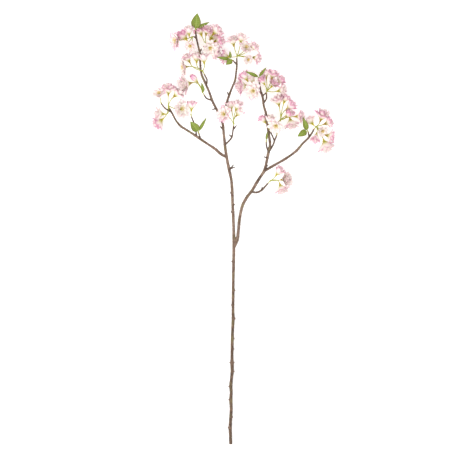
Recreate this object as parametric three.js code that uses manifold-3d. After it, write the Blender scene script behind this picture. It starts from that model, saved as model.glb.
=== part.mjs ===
// Cherry blossom sprig: one cut branch of a flowering cherry, laid down on a flat surface.
//
// Units are millimetres, +Z is up. The stem runs along Y: the cut butt is at -Y, the blossom at +Y.
// The origin is on the surface, under the middle of the sprig. The stem rises slowly from its butt,
// and the lowest petals of the outer umbels carry the flowering end.
//
// The layout is a plan drawing seen from above. Its grid counts u to the right and v towards the
// butt; heights are in millimetres.

import * as THREE from 'three';
import { mergeVertices } from 'three/addons/utils/BufferGeometryUtils.js';
import Module from 'manifold-3d';

// ---------------------------------------------------------------- driving dimensions

const SPRIG_LENGTH = 1165; // from the butt to the tip of the topmost leaf
const PLAN_LENGTH = 431; // the same length on the plan grid
const UNIT = SPRIG_LENGTH / PLAN_LENGTH; // one step of the plan grid
const PLAN_ORIGIN = { u: 243.1, v: 229.4 }; // the grid point over the origin

const REST_HEIGHT = 43; // the layer of the flowering wood
const FLATTEN = 0.8; // how far the umbels keep their depth where the sprig's weight presses them
const BUTT_V = 445.3; // where the plan's butt end lies
const LAY_DOWN = 14; // how far the far end comes down until petals rest on the surface
const SEAT_GAP = 0.3; // clearance between pieces that sit on each other
const PETAL_THICKNESS = 0.7;
const LEAF_THICKNESS = 0.8;
const STALK_RADIUS = 0.85; // a pedicel
const PEDUNCLE = { foot: 1.5, waist: 1.2, knob: 2.4 }; // radii of the short stalk that carries an umbel
const LONG_PEDUNCLE = 10; // longer ones have a waist
const CLOSED_SWELL = 1.04; // the room round a closed bloom, as a share of its size
const CLOSED_SINK = 1.5; // how far a closed bloom's petals are sunk into its calyx
const SHORT_STALK = 28; // shorter pedicels run straight
const STALK_BEND = 0.45; // where a pedicel bends towards its flower, as a share of its span
const ROOT_OFFSET = 1.2; // how far from the middle of the knob its stalks begin
const CALYX = { length: 6, rim: 2.3, sepal: 6.2, droop: 1.6 };
const CALYX_POINTS = 10; // round its rim, every other one a sepal's tip
const KNOB_SEAT = 0.4; // how far the knob's widest ring lies before the fork, as a share of its radius
const PEDUNCLE_WAIST = 0.4; // where a long peduncle is narrowest, as a share of its length
const LAYER_RISE = 1.6; // how far the inner petals stand above the outer ones
const WOOD_SIDES = 6;
const TWIG_SIDES = 4;

// ---------------------------------------------------------------- the wood, as u, v, height, radius

const STEM = [
  [230.7, 445.3, 3.6, 3.9], [230.5, 437, 4.3, 3.8], [230.2, 429, 5.2, 4.3], [230.6, 420, 6.0, 3.8],
  [231.2, 410, 7.1, 3.8], [230.8, 400, 8.2, 4.2], [231.2, 393, 9.0, 3.7], [230.8, 386.5, 9.8, 4.2],
  [231.5, 379, 10.8, 3.7], [232.2, 371.5, 11.8, 4.1], [232, 363.5, 12.8, 4.4],
  [232, 356, 13.8, 3.6], [232.2, 343, 15.6, 3.9], [232.6, 331, 17.4, 3.6],
  [233.1, 319.5, 19.0, 4.0], [233.0, 309, 20.6, 3.5], [233.1, 297, 22.4, 3.7],
  [233.3, 279.5, 25.2, 3.5], [233.6, 264, 27.4, 3.7], [233.8, 250, 29.4, 3.7],
  [233.9, 240, 30.8, 4.0], [233.6, 228, 32.4, 3.4], [233.2, 216, 34.0, 3.7],
  [232.6, 204, 35.5, 3.4], [232.2, 191.5, 37.0, 3.7], [231.3, 180, 38.2, 3.4],
  [229.3, 170.5, 39.2, 3.9], [227.3, 160.7, 40.2, 3.5], [225.4, 149, 41.0, 3.4],
  [223.8, 134, 42.0, 3.0], [222.3, 122, 42.6, 3.1], [217.6, 111.5, 43.2, 2.8],
  [212.6, 101.5, 43.8, 2.9], [209, 91.5, 44.4, 2.5], [205.4, 83.3, 44.9, 2.6],
  [201.5, 74, 45.4, 2.4], [200.2, 63, 46.0, 2.3], [200, 54, 46.4, 2.5], [198.3, 46.5, 46.8, 2.0],
  [196.6, 39, 47.2, 2.0], [195.5, 31.5, 47.6, 1.7],
];

const RIGHT_ARM = [
  [233.9, 248, 29.8, 3.1], [237.2, 239.7, 31.4, 4.1], [238.4, 231, 32.6, 3.6],
  [239.2, 222, 33.6, 3.8], [240.6, 213, 34.6, 3.5], [242.9, 204.5, 35.4, 3.7],
  [246.9, 197.2, 36.2, 3.8], [252, 190.5, 37.0, 3.5], [257.4, 181.5, 37.8, 3.7],
  [261.2, 175.6, 38.2, 3.2], [264.4, 170.6, 38.6, 3.9], [266.2, 163.5, 39.4, 3.1],
  [268.4, 152.6, 40.6, 3.5], [270, 144.5, 41.4, 2.9], [269.2, 137, 42.0, 3.0],
  [267.3, 124, 42.8, 2.7], [266.2, 114.5, 43.4, 2.8], [263.7, 105.5, 43.9, 2.4],
  [262.6, 97, 44.4, 2.7], [260.3, 88.7, 44.9, 1.9], [258.9, 79.5, 45.4, 1.5],
];

const LEFT_ARM = [
  [225.9, 157, 40.6, 2.8], [220.4, 153.6, 40.0, 3.5], [215.2, 149, 39.4, 3.4],
  [208.5, 144.5, 38.8, 2.8], [201.2, 139.6, 38.2, 3.1], [196, 136, 37.8, 3.1],
  [190.5, 132.4, 37.5, 2.5], [185.2, 129, 37.2, 2.6], [180.6, 126, 37.0, 2.9],
  [176, 120.5, 36.8, 2.0], [172.8, 114.5, 36.8, 2.1], [169.8, 109, 37.0, 1.6],
];

const INNER_ARM = [
  [222.5, 121, 42.6, 2.5], [224.6, 111.5, 42.2, 2.6], [226.9, 102, 42.0, 2.4],
  [229.4, 94.6, 42.2, 2.6], [232, 87.6, 42.6, 2.1], [235, 80.4, 43.0, 2.4], [236, 73.5, 43.5, 1.9],
  [236.8, 66, 44.0, 2.1], [236.8, 58.5, 44.6, 1.4],
];

const SIDE_ARM = [
  [264.8, 170.9, 38.6, 2.6], [271.1, 167, 38.4, 3.1], [278.1, 163, 38.2, 2.6],
  [285, 159, 38.0, 3.1], [291, 155, 38.0, 2.5], [297, 150.2, 38.0, 3.1], [302.6, 143.6, 38.2, 2.4],
  [308, 138.4, 38.5, 2.4], [312, 132.9, 38.9, 1.8], [313.7, 129.6, 39.1, 1.5],
];

const LOWER_TWIG = [
  [251, 191.8, 37.0, 1.9], [256.8, 192.4, 36.4, 2.2], [261.6, 190.2, 36.0, 2.4],
  [265.2, 186.4, 35.8, 1.8], [267.7, 183.6, 35.8, 1.7],
];

const TWIGS = [
  LEFT_ARM,
  INNER_ARM,
  SIDE_ARM,
  LOWER_TWIG,
  [[196.4, 135.6, 37.8, 1.6], [195.4, 127, 39.5, 1.6], [191.6, 117.2, 41.5, 1.3]],
  [
    [224.9, 145, 41.4, 1.6], [231.4, 138, 41.6, 1.7], [232.8, 131.5, 42.2, 1.4],
    [233.5, 126.5, 42.6, 1.3],
  ],
  [[211.9, 100.4, 43.9, 1.6], [206.6, 98.4, 44.2, 1.6], [204.6, 95.6, 44.4, 1.3]],
  [[206.4, 85.6, 44.8, 1.4], [207, 80.2, 46.4, 1.5], [204.6, 75, 48.0, 1.3]],
  [[199.8, 51.5, 46.4, 1.5], [202.4, 48.6, 47.4, 1.6], [204, 46.6, 48.0, 1.3]],
  [[196.6, 39.2, 47.2, 1.3], [194.2, 36.8, 48.2, 1.3]],
  [[263.8, 103, 44.0, 1.5], [266.4, 98.6, 44.8, 1.6], [266.4, 94, 45.6, 1.3]],
  [[261.9, 94.6, 44.6, 1.4], [259, 92, 43.0, 1.3]],
  [[268.6, 152.2, 40.6, 1.5], [266.8, 147.4, 41.0, 1.6], [266.2, 142.8, 41.4, 1.3]],
  [
    [268.6, 152.6, 40.6, 1.6], [272.8, 145.4, 40.6, 1.7], [274.6, 140.6, 40.8, 1.7],
    [276.5, 136, 41.2, 1.4],
  ],
  [[274.6, 141.2, 40.8, 1.4], [271.8, 134.6, 42.6, 1.4], [269.6, 130.4, 44.8, 1.3]],
  [[309, 137, 38.6, 1.4], [308.4, 132.4, 39.2, 1.3]],
  [[236.5, 64.4, 44.2, 1.4], [233.4, 61, 44.8, 1.3]],
  [[200.8, 139.2, 38.2, 1.5], [199, 134, 39.0, 1.3]],
  [[172, 112.6, 36.8, 1.3], [165.4, 108.4, 40.4, 1.4], [161.8, 104.2, 41.2, 1.1]],
];

// Short stubs and resting buds, as base u, v, height and tip u, v, height.
const STUBS = [
  [[229.2, 170, 39.2], [233.6, 164.6, 41.5]],
  [[223.3, 130, 42.2], [219.8, 126, 43.5]],
  [[216, 108.6, 43.4], [212, 109.6, 42]],
  [[200.2, 56, 46.4], [203, 52.6, 44]],
  [[229, 96, 42.2], [227, 91.6, 43.6]],
  [[231.8, 137, 41.7], [229, 134.6, 43]],
  [[232.9, 130, 42.3], [236.6, 125.4, 41]],
  [[264.4, 170, 38.8], [267.8, 165.2, 41.4]],
  [[267.2, 158, 40], [263.6, 156.6, 41.4]],
  [[257.2, 181.5, 37.8], [259.6, 176.6, 40.6]],
  [[261.4, 190.4, 36], [262.2, 187, 38]],
  [[233.2, 319.5, 19.2], [235.2, 317.6, 20.6]],
  [[230.6, 429, 5.4], [228.4, 427.4, 6.6]],
];
const STUB_RADIUS = { base: 1.5, tip: 0.8 };

// ---------------------------------------------------------------- the umbels
//
// spur is the end of the wood, fork the end of the green peduncle, both as u, v, height.
// A bloom is: middle of its petals as u, v, height; turn, the compass angle that it faces, 0 to the
// right and 90 away from the butt; lift, how far it faces up; radius, half its width in mm; and its
// form.
// A leaf is: foot as u, v, height; tip as u, v, height; width in mm; and its form.

const UMBELS = {
  crown: {
    spur: [195.5, 31.5, 47.6],
    fork: [195.8, 29.6, 48],
    blooms: [],
    leaves: [
      [[195.4, 28.6, 48.6], [197.4, 13.6, 58], 25, 'toothed'],
      [[197, 28.4, 48.4], [209.6, 22.4, 54], 9, 'plain'],
    ],
  },
  topLeft: {
    spur: [194.2, 36.8, 48.2],
    fork: [192.2, 37, 49],
    blooms: [
      [176.2, 40.4, 46, 186, 34, 24, 'wide'],
      [183.6, 36, 38, 128, -14, 18, 'open'],
      [189, 30.8, 54, 92, 14, 12.5, 'cup'],
      [190.6, 46, 59, 240, 58, 15, 'wide'],
    ],
    leaves: [],
  },
  topRight: {
    spur: [204, 46.6, 48],
    fork: [205.8, 44.8, 48.6],
    blooms: [
      [200, 31.4, 36, 112, -12, 14.5, 'open'],
      [206.6, 30.8, 53, 82, 18, 15.5, 'open'],
      [212.6, 36.4, 24, 52, -40, 15, 'open'],
      [215.9, 31, 48, 50, -4, 17, 'open'],
      [218.6, 41, 43, 8, -6, 17, 'open'],
      [209.8, 48.2, 61, 310, 62, 20, 'wide'],
      [214.8, 53, 45, 334, -2, 16, 'open'],
    ],
    leaves: [],
  },
  collar: {
    spur: [204.6, 75, 48],
    fork: [202.6, 71, 50],
    blooms: [
      [203.6, 58.6, 54, 98, 6, 13, 'cup'],
      [196.6, 57.6, 34, 90, -12, 12.5, 'cup'],
      [187.6, 58.4, 48, 118, 4, 15, 'open'],
      [184.2, 67, 44, 188, 22, 22.5, 'wide'],
    ],
    leaves: [],
  },
  elbow: {
    spur: [204.6, 95.6, 44.4],
    fork: [202.4, 92, 45],
    blooms: [
      [185.8, 84, 44, 192, 12, 21.5, 'open'],
      [194.4, 78.8, 52, 132, 16, 10, 'bud'],
    ],
    leaves: [[[203.6, 92, 46.6], [201.6, 82.8, 54], 8, 'plain']],
  },
  inner: {
    spur: [236.8, 58.5, 44.6],
    fork: [237.2, 56, 45.4],
    blooms: [
      [232.8, 41.4, 45, 104, 4, 16, 'open'],
      [241.3, 38.6, 43.5, 80, -4, 16.5, 'open'],
      [245.8, 48, 56, 56, 48, 18.5, 'wide'],
      [253.8, 47.4, 48, 36, -2, 15, 'open'],
      [256.4, 58, 40, 350, -2, 14.5, 'open'],
      [247.8, 59.6, 60, 320, 54, 13.5, 'wide'],
      [225.6, 56.4, 25.6, 176, -16, 16, 'open'],
    ],
    leaves: [],
  },
  innerStub: {
    spur: [233.4, 61, 44.8],
    fork: [231.8, 60, 45.4],
    blooms: [],
    leaves: [
      [[231.4, 60, 47], [226, 65, 53], 16, 'toothed'],
      [[229.4, 59.4, 47], [216.9, 57.7, 56], 9, 'plain'],
      [[230.6, 58, 47], [229.8, 51, 54], 7, 'plain'],
    ],
  },
  leftTip: {
    spur: [169.8, 109, 37],
    fork: [168.4, 105.6, 38],
    blooms: [
      [168.6, 89.8, 41, 86, 6, 18.5, 'open'],
      [177, 93.6, 39, 44, -8, 16.5, 'open'],
      [181.4, 109.2, 54, 10, 60, 22.5, 'wide'],
      [159.6, 113.8, 37.5, 178, 2, 16.5, 'open'],
      [159, 122.2, 25, 222, -16, 18, 'open'],
    ],
    leaves: [],
  },
  leftOuter: {
    spur: [161.8, 104.2, 41.2],
    fork: [161, 102.8, 42],
    blooms: [
      [159.2, 94, 52, 104, 46, 17.5, 'wide'],
    ],
    leaves: [],
  },
  leftMid: {
    spur: [191.6, 117.2, 41.5],
    fork: [191, 114.6, 42.2],
    blooms: [[191.8, 105.8, 41, 84, 0, 12, 'cup']],
    leaves: [],
  },
  leftStub: {
    spur: [199, 134, 39],
    fork: [198.4, 132, 39.6],
    blooms: [],
    leaves: [
      [[198, 131, 40.4], [190.4, 121.6, 50], 21, 'toothed'],
      [[199, 130.6, 40.4], [206.6, 117.6, 50], 8, 'plain'],
    ],
  },
  middle: {
    spur: [233.5, 126.5, 42.6],
    fork: [233.8, 123.6, 43.4],
    blooms: [
      [224.2, 114.4, 60, 166, 60, 21.5, 'wide'],
      [230.4, 105.6, 38, 104, -8, 11.5, 'cup'],
      [237.2, 105.8, 55, 72, 12, 12, 'cup'],
      [239, 112.6, 38, 50, -6, 11.5, 'cup'],
    ],
    leaves: [],
  },
  leader: {
    spur: [258.9, 79.5, 45.4],
    fork: [258.6, 77.6, 45.8],
    blooms: [],
    leaves: [
      [[258, 76.8, 46.4], [245.2, 71.6, 58], 9, 'toothed'],
      [[259.2, 76.4, 46.4], [266.6, 67.4, 62], 7, 'plain'],
    ],
  },
  rightInner: {
    spur: [259, 92, 43],
    fork: [256.8, 90.4, 43],
    blooms: [
      [244.8, 76.4, 46, 120, 2, 12.5, 'cup'],
      [242.2, 86, 40, 182, 4, 20, 'open'],
      [251.8, 79.6, 34, 122, -10, 11.5, 'cup'],
      [253.4, 91, 60, 196, 66, 22.5, 'wide'],
    ],
    leaves: [],
  },
  rightCrown: {
    spur: [266.4, 94, 45.6],
    fork: [266.8, 91, 46.6],
    blooms: [
      [265.4, 74, 44, 100, 0, 11.5, 'cup'],
      [262.6, 81, 59, 118, 18, 11, 'cup'],
      [273, 75, 40, 72, -4, 16, 'open'],
      [279.8, 80.4, 39, 36, -8, 14.5, 'open'],
      [273.6, 84.2, 57.5, 50, 24, 14, 'open'],
      [281.7, 90.3, 45, 12, 0, 15, 'open'],
    ],
    leaves: [],
  },
  leaderStub: {
    spur: [266.2, 142.8, 41.4],
    fork: [266.3, 140.8, 41.8],
    blooms: [],
    leaves: [[[266.4, 139.8, 42.2], [267.2, 131.6, 50], 6, 'plain']],
  },
  forkLeft: {
    spur: [269.6, 130.4, 44.8],
    fork: [268.8, 128.4, 46],
    blooms: [
      [263, 119.8, 40, 132, -4, 11, 'cup'],
      [269.8, 120, 56, 84, 16, 11.5, 'cup'],
    ],
    leaves: [],
  },
  forkRight: {
    spur: [276.5, 136, 41.2],
    fork: [280.6, 119.6, 43],
    blooms: [
      [276, 125.8, 60, 250, 58, 20.5, 'wide'],
      [278, 101, 48, 102, 6, 18, 'open'],
      [284.9, 99, 41, 74, -8, 14, 'open'],
      [290.4, 106.2, 50, 38, 8, 13.5, 'cup'],
      [288.6, 114.2, 56, 50, 26, 11.5, 'cup'],
      [291, 123, 42, 284, -2, 18, 'open'],
      [299.6, 116.4, 44, 2, 4, 14.5, 'open'],
    ],
    leaves: [],
  },
  rightStub: {
    spur: [308.4, 132.4, 39.2],
    fork: [307.6, 130.8, 40],
    blooms: [],
    leaves: [
      [[307, 130, 41], [303, 117.8, 55], 14, 'toothed'],
      [[306.4, 131, 41], [297.4, 136.6, 50], 17, 'toothed'],
    ],
  },
  rightTip: {
    spur: [313.7, 129.6, 39.1],
    fork: [316.4, 126.4, 40.6],
    blooms: [
      [322.2, 115.8, 44, 70, 12, 20.5, 'open'],
      [328.2, 122.7, 40, 20, -8, 14, 'open'],
      [322, 131, 57, 318, 54, 14.5, 'wide'],
      [330.4, 136.1, 36, 346, -4, 16.5, 'open'],
      [325.8, 145, 31, 292, -8, 21.5, 'open'],
      [315.6, 137.4, 54, 256, 22, 11.5, 'cup'],
      [310.4, 121.4, 34, 132, -14, 14.5, 'open'],
    ],
    leaves: [],
  },
  lower: {
    spur: [267.7, 183.6, 35.8],
    fork: [270.6, 180.6, 36.6],
    blooms: [
      [278.8, 171.4, 46, 55, 10, 13, 'cup'],
      [285.6, 179.2, 41, 8, 32, 18, 'open'],
      [281.4, 188.2, 34, 290, -4, 17, 'open'],
    ],
    leaves: [],
  },
};

// ---------------------------------------------------------------- small helpers

/** A repeatable stream of numbers between 0 and 1. */
function makeDice(seed) {
  const modulus = 2147483647;
  let state = seed;
  return () => {
    state = (state * 48271) % modulus;
    return state / modulus;
  };
}

/** A point of the plan as a position in millimetres: the sprig is laid down about its butt. */
function place([u, v, height]) {
  const laid = height - (LAY_DOWN * (BUTT_V - v)) / PLAN_LENGTH;
  return new THREE.Vector3((u - PLAN_ORIGIN.u) * UNIT, (PLAN_ORIGIN.v - v) * UNIT, laid);
}

/** The direction of a compass angle and a lift, in degrees. */
function facing(turn, lift) {
  const t = THREE.MathUtils.degToRad(turn);
  const l = THREE.MathUtils.degToRad(lift);
  return new THREE.Vector3(Math.cos(l) * Math.cos(t), Math.cos(l) * Math.sin(t), Math.sin(l));
}

/** A closed geometry from points and corner triples. */
function shell(points, corners) {
  const geometry = new THREE.BufferGeometry();
  const numbers = points.flatMap((point) => point.toArray());
  geometry.setAttribute('position', new THREE.Float32BufferAttribute(numbers, 3));
  geometry.setIndex(corners);
  return geometry;
}

/** Triangles between two rings that start at the same angle, facing away from the axis. */
function wall(low, high) {
  const corners = [];
  const [a, b] = [low.length, high.length];
  let i = 0;
  let j = 0;
  while (i < a || j < b) {
    const stepLow = j >= b || (i < a && (i + 1) / a <= (j + 1) / b);
    if (stepLow) {
      if (a > 1) corners.push(low[i], low[(i + 1) % a], high[j % b]);
      i += 1;
    } else {
      if (b > 1) corners.push(low[i % a], high[(j + 1) % b], high[j]);
      j += 1;
    }
  }
  return corners;
}

/** Points and triangles that are put together one by one. */
function makeBody() {
  const points = [];
  const corners = [];
  return {
    add: (point) => points.push(point) - 1,
    face: (a, b, c) => corners.push(a, b, c),
    faces: (list) => corners.push(...list),
    points,
    solid: () => toSolid(shell(points, corners)),
  };
}

/** A closed body through rings of points, which may differ in number; a ring of one point is a tip. */
function loft(rings) {
  const body = makeBody();
  const loops = rings.map((points) => points.map(body.add));
  loops.slice(1).forEach((loop, k) => body.faces(wall(loops[k], loop)));
  const [first, last] = [loops[0], loops.at(-1)];
  for (let i = 1; i + 1 < first.length; i++) body.face(first[0], first[i + 1], first[i]);
  for (let i = 1; i + 1 < last.length; i++) body.face(last[0], last[i], last[i + 1]);
  return body.solid();
}

/** Points round a centre, counter-clockwise about the axis; radius may depend on the point. */
function ring(centre, axis, side, radius, count) {
  const across = axis.clone().cross(side).normalize();
  return Array.from({ length: count }, (_, i) => {
    const angle = (2 * Math.PI * i) / count;
    const r = typeof radius === 'function' ? radius(i) : radius;
    return centre.clone()
      .addScaledVector(side, r * Math.cos(angle))
      .addScaledVector(across, r * Math.sin(angle));
  });
}

/** A unit vector square to the axis, as near as possible to the hint. */
function squareTo(axis, hint) {
  const side = hint.clone().addScaledVector(axis, -hint.dot(axis));
  return side.normalize();
}

// ---------------------------------------------------------------- joining and cutting

const wasm = await Module();
wasm.setup();

function toSolid(geometry) {
  const bare = mergeVertices(geometry, 1e-4);
  return new wasm.Manifold(new wasm.Mesh({
    numProp: 3,
    vertProperties: new Float32Array(bare.getAttribute('position').array),
    triVerts: new Uint32Array(bare.getIndex().array),
  }));
}

function toGeometry(solid) {
  const mesh = solid.getMesh();
  const geometry = new THREE.BufferGeometry();
  geometry.setAttribute('position', new THREE.BufferAttribute(mesh.vertProperties, 3));
  geometry.setIndex(new THREE.BufferAttribute(mesh.triVerts, 1));
  geometry.computeVertexNormals();
  return geometry;
}

function join(solids) {
  return wasm.Manifold.union(solids);
}

/** A solid without what a tool reaches of it, and untouched where the tool reaches nothing. */
function clearOf(solid, tool) {
  return solid.intersect(tool).isEmpty() ? solid : solid.subtract(tool);
}

/** The largest body of a solid: a cut may leave loose scraps, which are dropped. */
function largest(solid) {
  const bodies = solid.decompose();
  return bodies.reduce((best, body) => (body.volume() > best.volume() ? body : best));
}

// The surface that the sprig lies on flattens what would reach below it.
const SLAB = 40;
const surface = toSolid(
  new THREE.BoxGeometry(2 * SPRIG_LENGTH, 2 * SPRIG_LENGTH, SLAB)
    .deleteAttribute('normal')
    .deleteAttribute('uv')
    .translate(0, 0, -SLAB / 2),
);

// ---------------------------------------------------------------- wood

/** One limb: a ring at every point of its route, turned to follow it. */
function limb(route, sides, extra = 0) {
  const centres = route.map(place);
  for (const [end, next] of [[0, 1], [route.length - 1, route.length - 2]]) {
    const outward = centres[end].clone().sub(centres[next]).normalize();
    centres[end].addScaledVector(outward, extra);
  }
  const hint = new THREE.Vector3(0, 0, 1);
  const rings = centres.map((centre, i) => {
    const before = centres[Math.max(i - 1, 0)];
    const after = centres[Math.min(i + 1, centres.length - 1)];
    const along = after.clone().sub(before).normalize();
    return ring(centre, along, squareTo(along, hint), route[i][3] + extra, sides);
  });
  return loft(rings);
}

function stub([base, tip], extra = 0) {
  const route = [[...base, STUB_RADIUS.base], [...tip, STUB_RADIUS.tip]];
  return limb(route, TWIG_SIDES, extra);
}

function wood(extra = 0) {
  return join([
    limb(STEM, WOOD_SIDES, extra),
    limb(RIGHT_ARM, WOOD_SIDES, extra),
    ...TWIGS.map((route) => limb(route, TWIG_SIDES, extra)),
    ...STUBS.map((ends) => stub(ends, extra)),
  ]);
}

// ---------------------------------------------------------------- stalks and calyxes

// Each form's petals open from one angle off the flower's axis to another, in degrees, and its
// inner layer stands steeper. Shares of the outer petals' length are: each layer's length; spread, the
// bloom's radius; and middle, the height of the bloom's middle above its base.
const FORMS = {
  wide: {
    spread: 0.86,
    middle: 0.17,
    outer: { petals: 5, from: 58, to: 84, length: 1 },
    inner: { petals: 4, from: 36, to: 66, length: 0.74 },
    stamens: true,
  },
  open: {
    spread: 0.67,
    middle: 0.38,
    outer: { petals: 5, from: 46, to: 62, length: 1 },
    inner: { petals: 3, from: 16, to: 32, length: 0.94 },
  },
  cup: {
    spread: 0.5,
    middle: 0.42,
    outer: { petals: 5, from: 48, to: 16, length: 1 },
    heart: true,
  },
  bud: {
    spread: 0.42,
    middle: 0.45,
    outer: { petals: 5, from: 50, to: -38, length: 1 },
  },
};

/** A petal's midline, as distance from the flower's axis and height, at s along its length. */
function midline({ from, to }, length, s) {
  const a = THREE.MathUtils.degToRad(from);
  const b = a + (THREE.MathUtils.degToRad(to) - a) * (s / length);
  const bend = (THREE.MathUtils.degToRad(to) - a) / length;
  return {
    out: (Math.cos(a) - Math.cos(b)) / bend,
    up: (Math.sin(b) - Math.sin(a)) / bend,
    angle: b,
  };
}

// Buds and half-open blooms are one body with their stalk; open petals sit on their calyx.
const CLOSED_FORMS = ['cup', 'bud'];
const OPEN_SEAT = 1.2 * SEAT_GAP;

function isClosed(bloom) {
  return CLOSED_FORMS.includes(bloom[6]);
}

/** Where the parts of a bloom stand: calyx foot, flower base and axis. */
function stance([u, v, height, turn, lift, radius, form]) {
  const axis = facing(turn, lift);
  const { outer, spread, middle } = FORMS[form];
  const reach = radius / spread;
  const base = place([u, v, REST_HEIGHT + FLATTEN * (height - REST_HEIGHT)]);
  base.addScaledVector(axis, -middle * reach);
  const keel = PETAL_THICKNESS / Math.sin(THREE.MathUtils.degToRad(outer.from));
  const seat = CLOSED_FORMS.includes(form) ? -CLOSED_SINK : OPEN_SEAT;
  const foot = base.clone().addScaledVector(axis, -(CALYX.length + seat + keel));
  return { axis, base, foot, reach };
}

// Stands in where a pedicel runs straight into its flower and no side is given.
const ANY_SIDE = new THREE.Vector3(0.3, 0.2, 1);

/** One pedicel with its calyx: three-sided below, opening into a cup with five pointed sepals. */
function stalk(fork, bloom, extra = 0) {
  const { axis, foot } = stance(bloom);
  const span = foot.distanceTo(place(fork));
  const bend = foot.clone().addScaledVector(axis, -STALK_BEND * span);
  const start = place(fork);
  start.addScaledVector(bend.clone().sub(start).normalize(), ROOT_OFFSET);
  const route = new THREE.QuadraticBezierCurve3(start, bend, foot);
  const crosswise = axis.clone().cross(foot.clone().sub(start));
  const side = crosswise.lengthSq() > 1 ? crosswise.normalize() : squareTo(axis, ANY_SIDE);
  const at = (h) => foot.clone().addScaledVector(axis, h);
  const stops = span < SHORT_STALK ? [0, 1] : [0, 0.5, 1];
  const rings = stops.map((t) => {
    const along = route.getTangent(t);
    return ring(route.getPoint(t), along, squareTo(along, side), STALK_RADIUS + extra, 3);
  });
  if (isClosed(bloom)) {
    rings.push(ring(at(CALYX.length + extra), axis, side, CALYX.rim + extra, 5));
    return loft(rings);
  }
  const across = axis.clone().cross(side).normalize();
  const rim = (raise) => Array.from({ length: CALYX_POINTS }, (_, i) => {
    const angle = (2 * Math.PI * i) / CALYX_POINTS;
    const isSepal = i % 2 === 0;
    const r = (isSepal ? CALYX.sepal : CALYX.rim) + extra;
    return at(CALYX.length - (isSepal ? CALYX.droop : 0) + raise)
      .addScaledVector(side, r * Math.cos(angle))
      .addScaledVector(across, r * Math.sin(angle));
  });
  if (extra > 0) rings.push(rim(-extra));
  rings.push(rim(extra), [at(CALYX.length + extra)]);
  return loft(rings);
}

/** The green peduncle from the end of the wood, and the knob at its fork that holds the stalks. */
function peduncle({ spur, fork }, extra = 0) {
  const start = place(spur);
  const end = place(fork);
  const along = end.clone().sub(start);
  const length = along.length();
  along.normalize();
  const side = squareTo(along, new THREE.Vector3(0, 0, 1));
  const at = (distance, radius) => ring(
    start.clone().addScaledVector(along, distance), along, side, radius + extra, 5,
  );
  const rings = [at(SEAT_GAP - extra, PEDUNCLE.foot)];
  if (length > LONG_PEDUNCLE) rings.push(at(PEDUNCLE_WAIST * length, PEDUNCLE.waist));
  rings.push(at(length - KNOB_SEAT * PEDUNCLE.knob, PEDUNCLE.knob));
  rings.push([end.clone().addScaledVector(along, PEDUNCLE.knob + extra)]);
  return loft(rings);
}

// ---------------------------------------------------------------- leaves

const LEAF_ROWS = {
  // share of the length, share of the half width on either side
  toothed: [[0.0, 0.08], [0.2, 0.74], [0.27, 0.6], [0.5, 1.0], [0.58, 0.8], [0.78, 0.64]],
  plain: [[0.0, 0.1], [0.28, 0.9], [0.56, 1.0], [0.8, 0.55]],
};
const PETIOLE_RADIUS = 0.8;
const LEAF_FOLD = 0.5; // how far the edges rise, as a share of the half width
const LEAF_ARCH = 0.1; // how far the blade arches, as a share of its length

/** A leaf: a blade folded along its midrib, whose foot narrows into a stalk from the fork. */
function leaf([foot, tip, width, form], fork, extra = 0) {
  const start = place(foot);
  const along = place(tip).sub(start);
  const length = along.length();
  along.normalize();
  const up = squareTo(along, new THREE.Vector3(0, 0, 1));
  const right = along.clone().cross(up);
  const half = width / 2;
  const body = makeBody();
  const spot = (t, sideways, lift) => body.add(start.clone()
    .addScaledVector(along, t * length)
    .addScaledVector(right, sideways)
    .addScaledVector(up, 4 * LEAF_ARCH * length * t * (1 - t) + lift));
  const faces = [1, -1].map((face) => {
    const lift = face * (LEAF_THICKNESS / 2 + extra);
    const rows = LEAF_ROWS[form].map(([t, w]) => [-1, 0, 1].map((side) => (
      spot(t, side * (w * half + extra), lift + Math.abs(side) * w * half * LEAF_FOLD)
    )));
    return { rows, end: spot(1, 0, lift) };
  });
  faces.forEach(({ rows, end }, below) => {
    const face = (a, b, c) => body.face(...(below ? [a, c, b] : [a, b, c]));
    rows.slice(1).forEach((next, r) => {
      const [l, m, h] = rows[r];
      face(l, m, next[1]);
      face(l, next[1], next[0]);
      face(m, h, next[2]);
      face(m, next[2], next[1]);
    });
    const [l, m, h] = rows.at(-1);
    face(l, m, end);
    face(m, h, end);
  });
  const rims = faces.map(({ rows, end }) => [
    ...rows.map((row) => row[2]), end, ...rows.map((row) => row[0]).reverse(),
  ]);
  for (let k = 0; k + 1 < rims[0].length; k++) {
    const [a, b, c, d] = [rims[0][k], rims[0][k + 1], rims[1][k], rims[1][k + 1]];
    body.face(a, c, d);
    body.face(a, d, b);
  }
  const [top, under] = faces.map(({ rows }) => rows[0]);
  const root = place(fork);
  const stalkAlong = start.clone().sub(root).normalize();
  const stalkSide = squareTo(stalkAlong, right);
  const stalkEnd = ring(root, stalkAlong, stalkSide, PETIOLE_RADIUS + extra, 3).map(body.add);
  body.faces(wall(stalkEnd, [top[2], under[2], under[1], under[0], top[0], top[1]]));
  body.face(stalkEnd[0], stalkEnd[2], stalkEnd[1]);
  return body.solid();
}

// ---------------------------------------------------------------- petals

// A petal's outline, as share of its length and share of its half sector.
const VALLEY = { s: 0.4, w: 1 };
const EDGE = [{ s: 0.86, w: 0.8 }, { s: 0.99, w: 0 }];
const PETAL_VARIATION = { length: 0.12, lean: 0.2 }; // full range, as a share of the length
const NECK = 0.1; // the ring where an inner layer grows from an outer one, as share of the length

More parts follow.
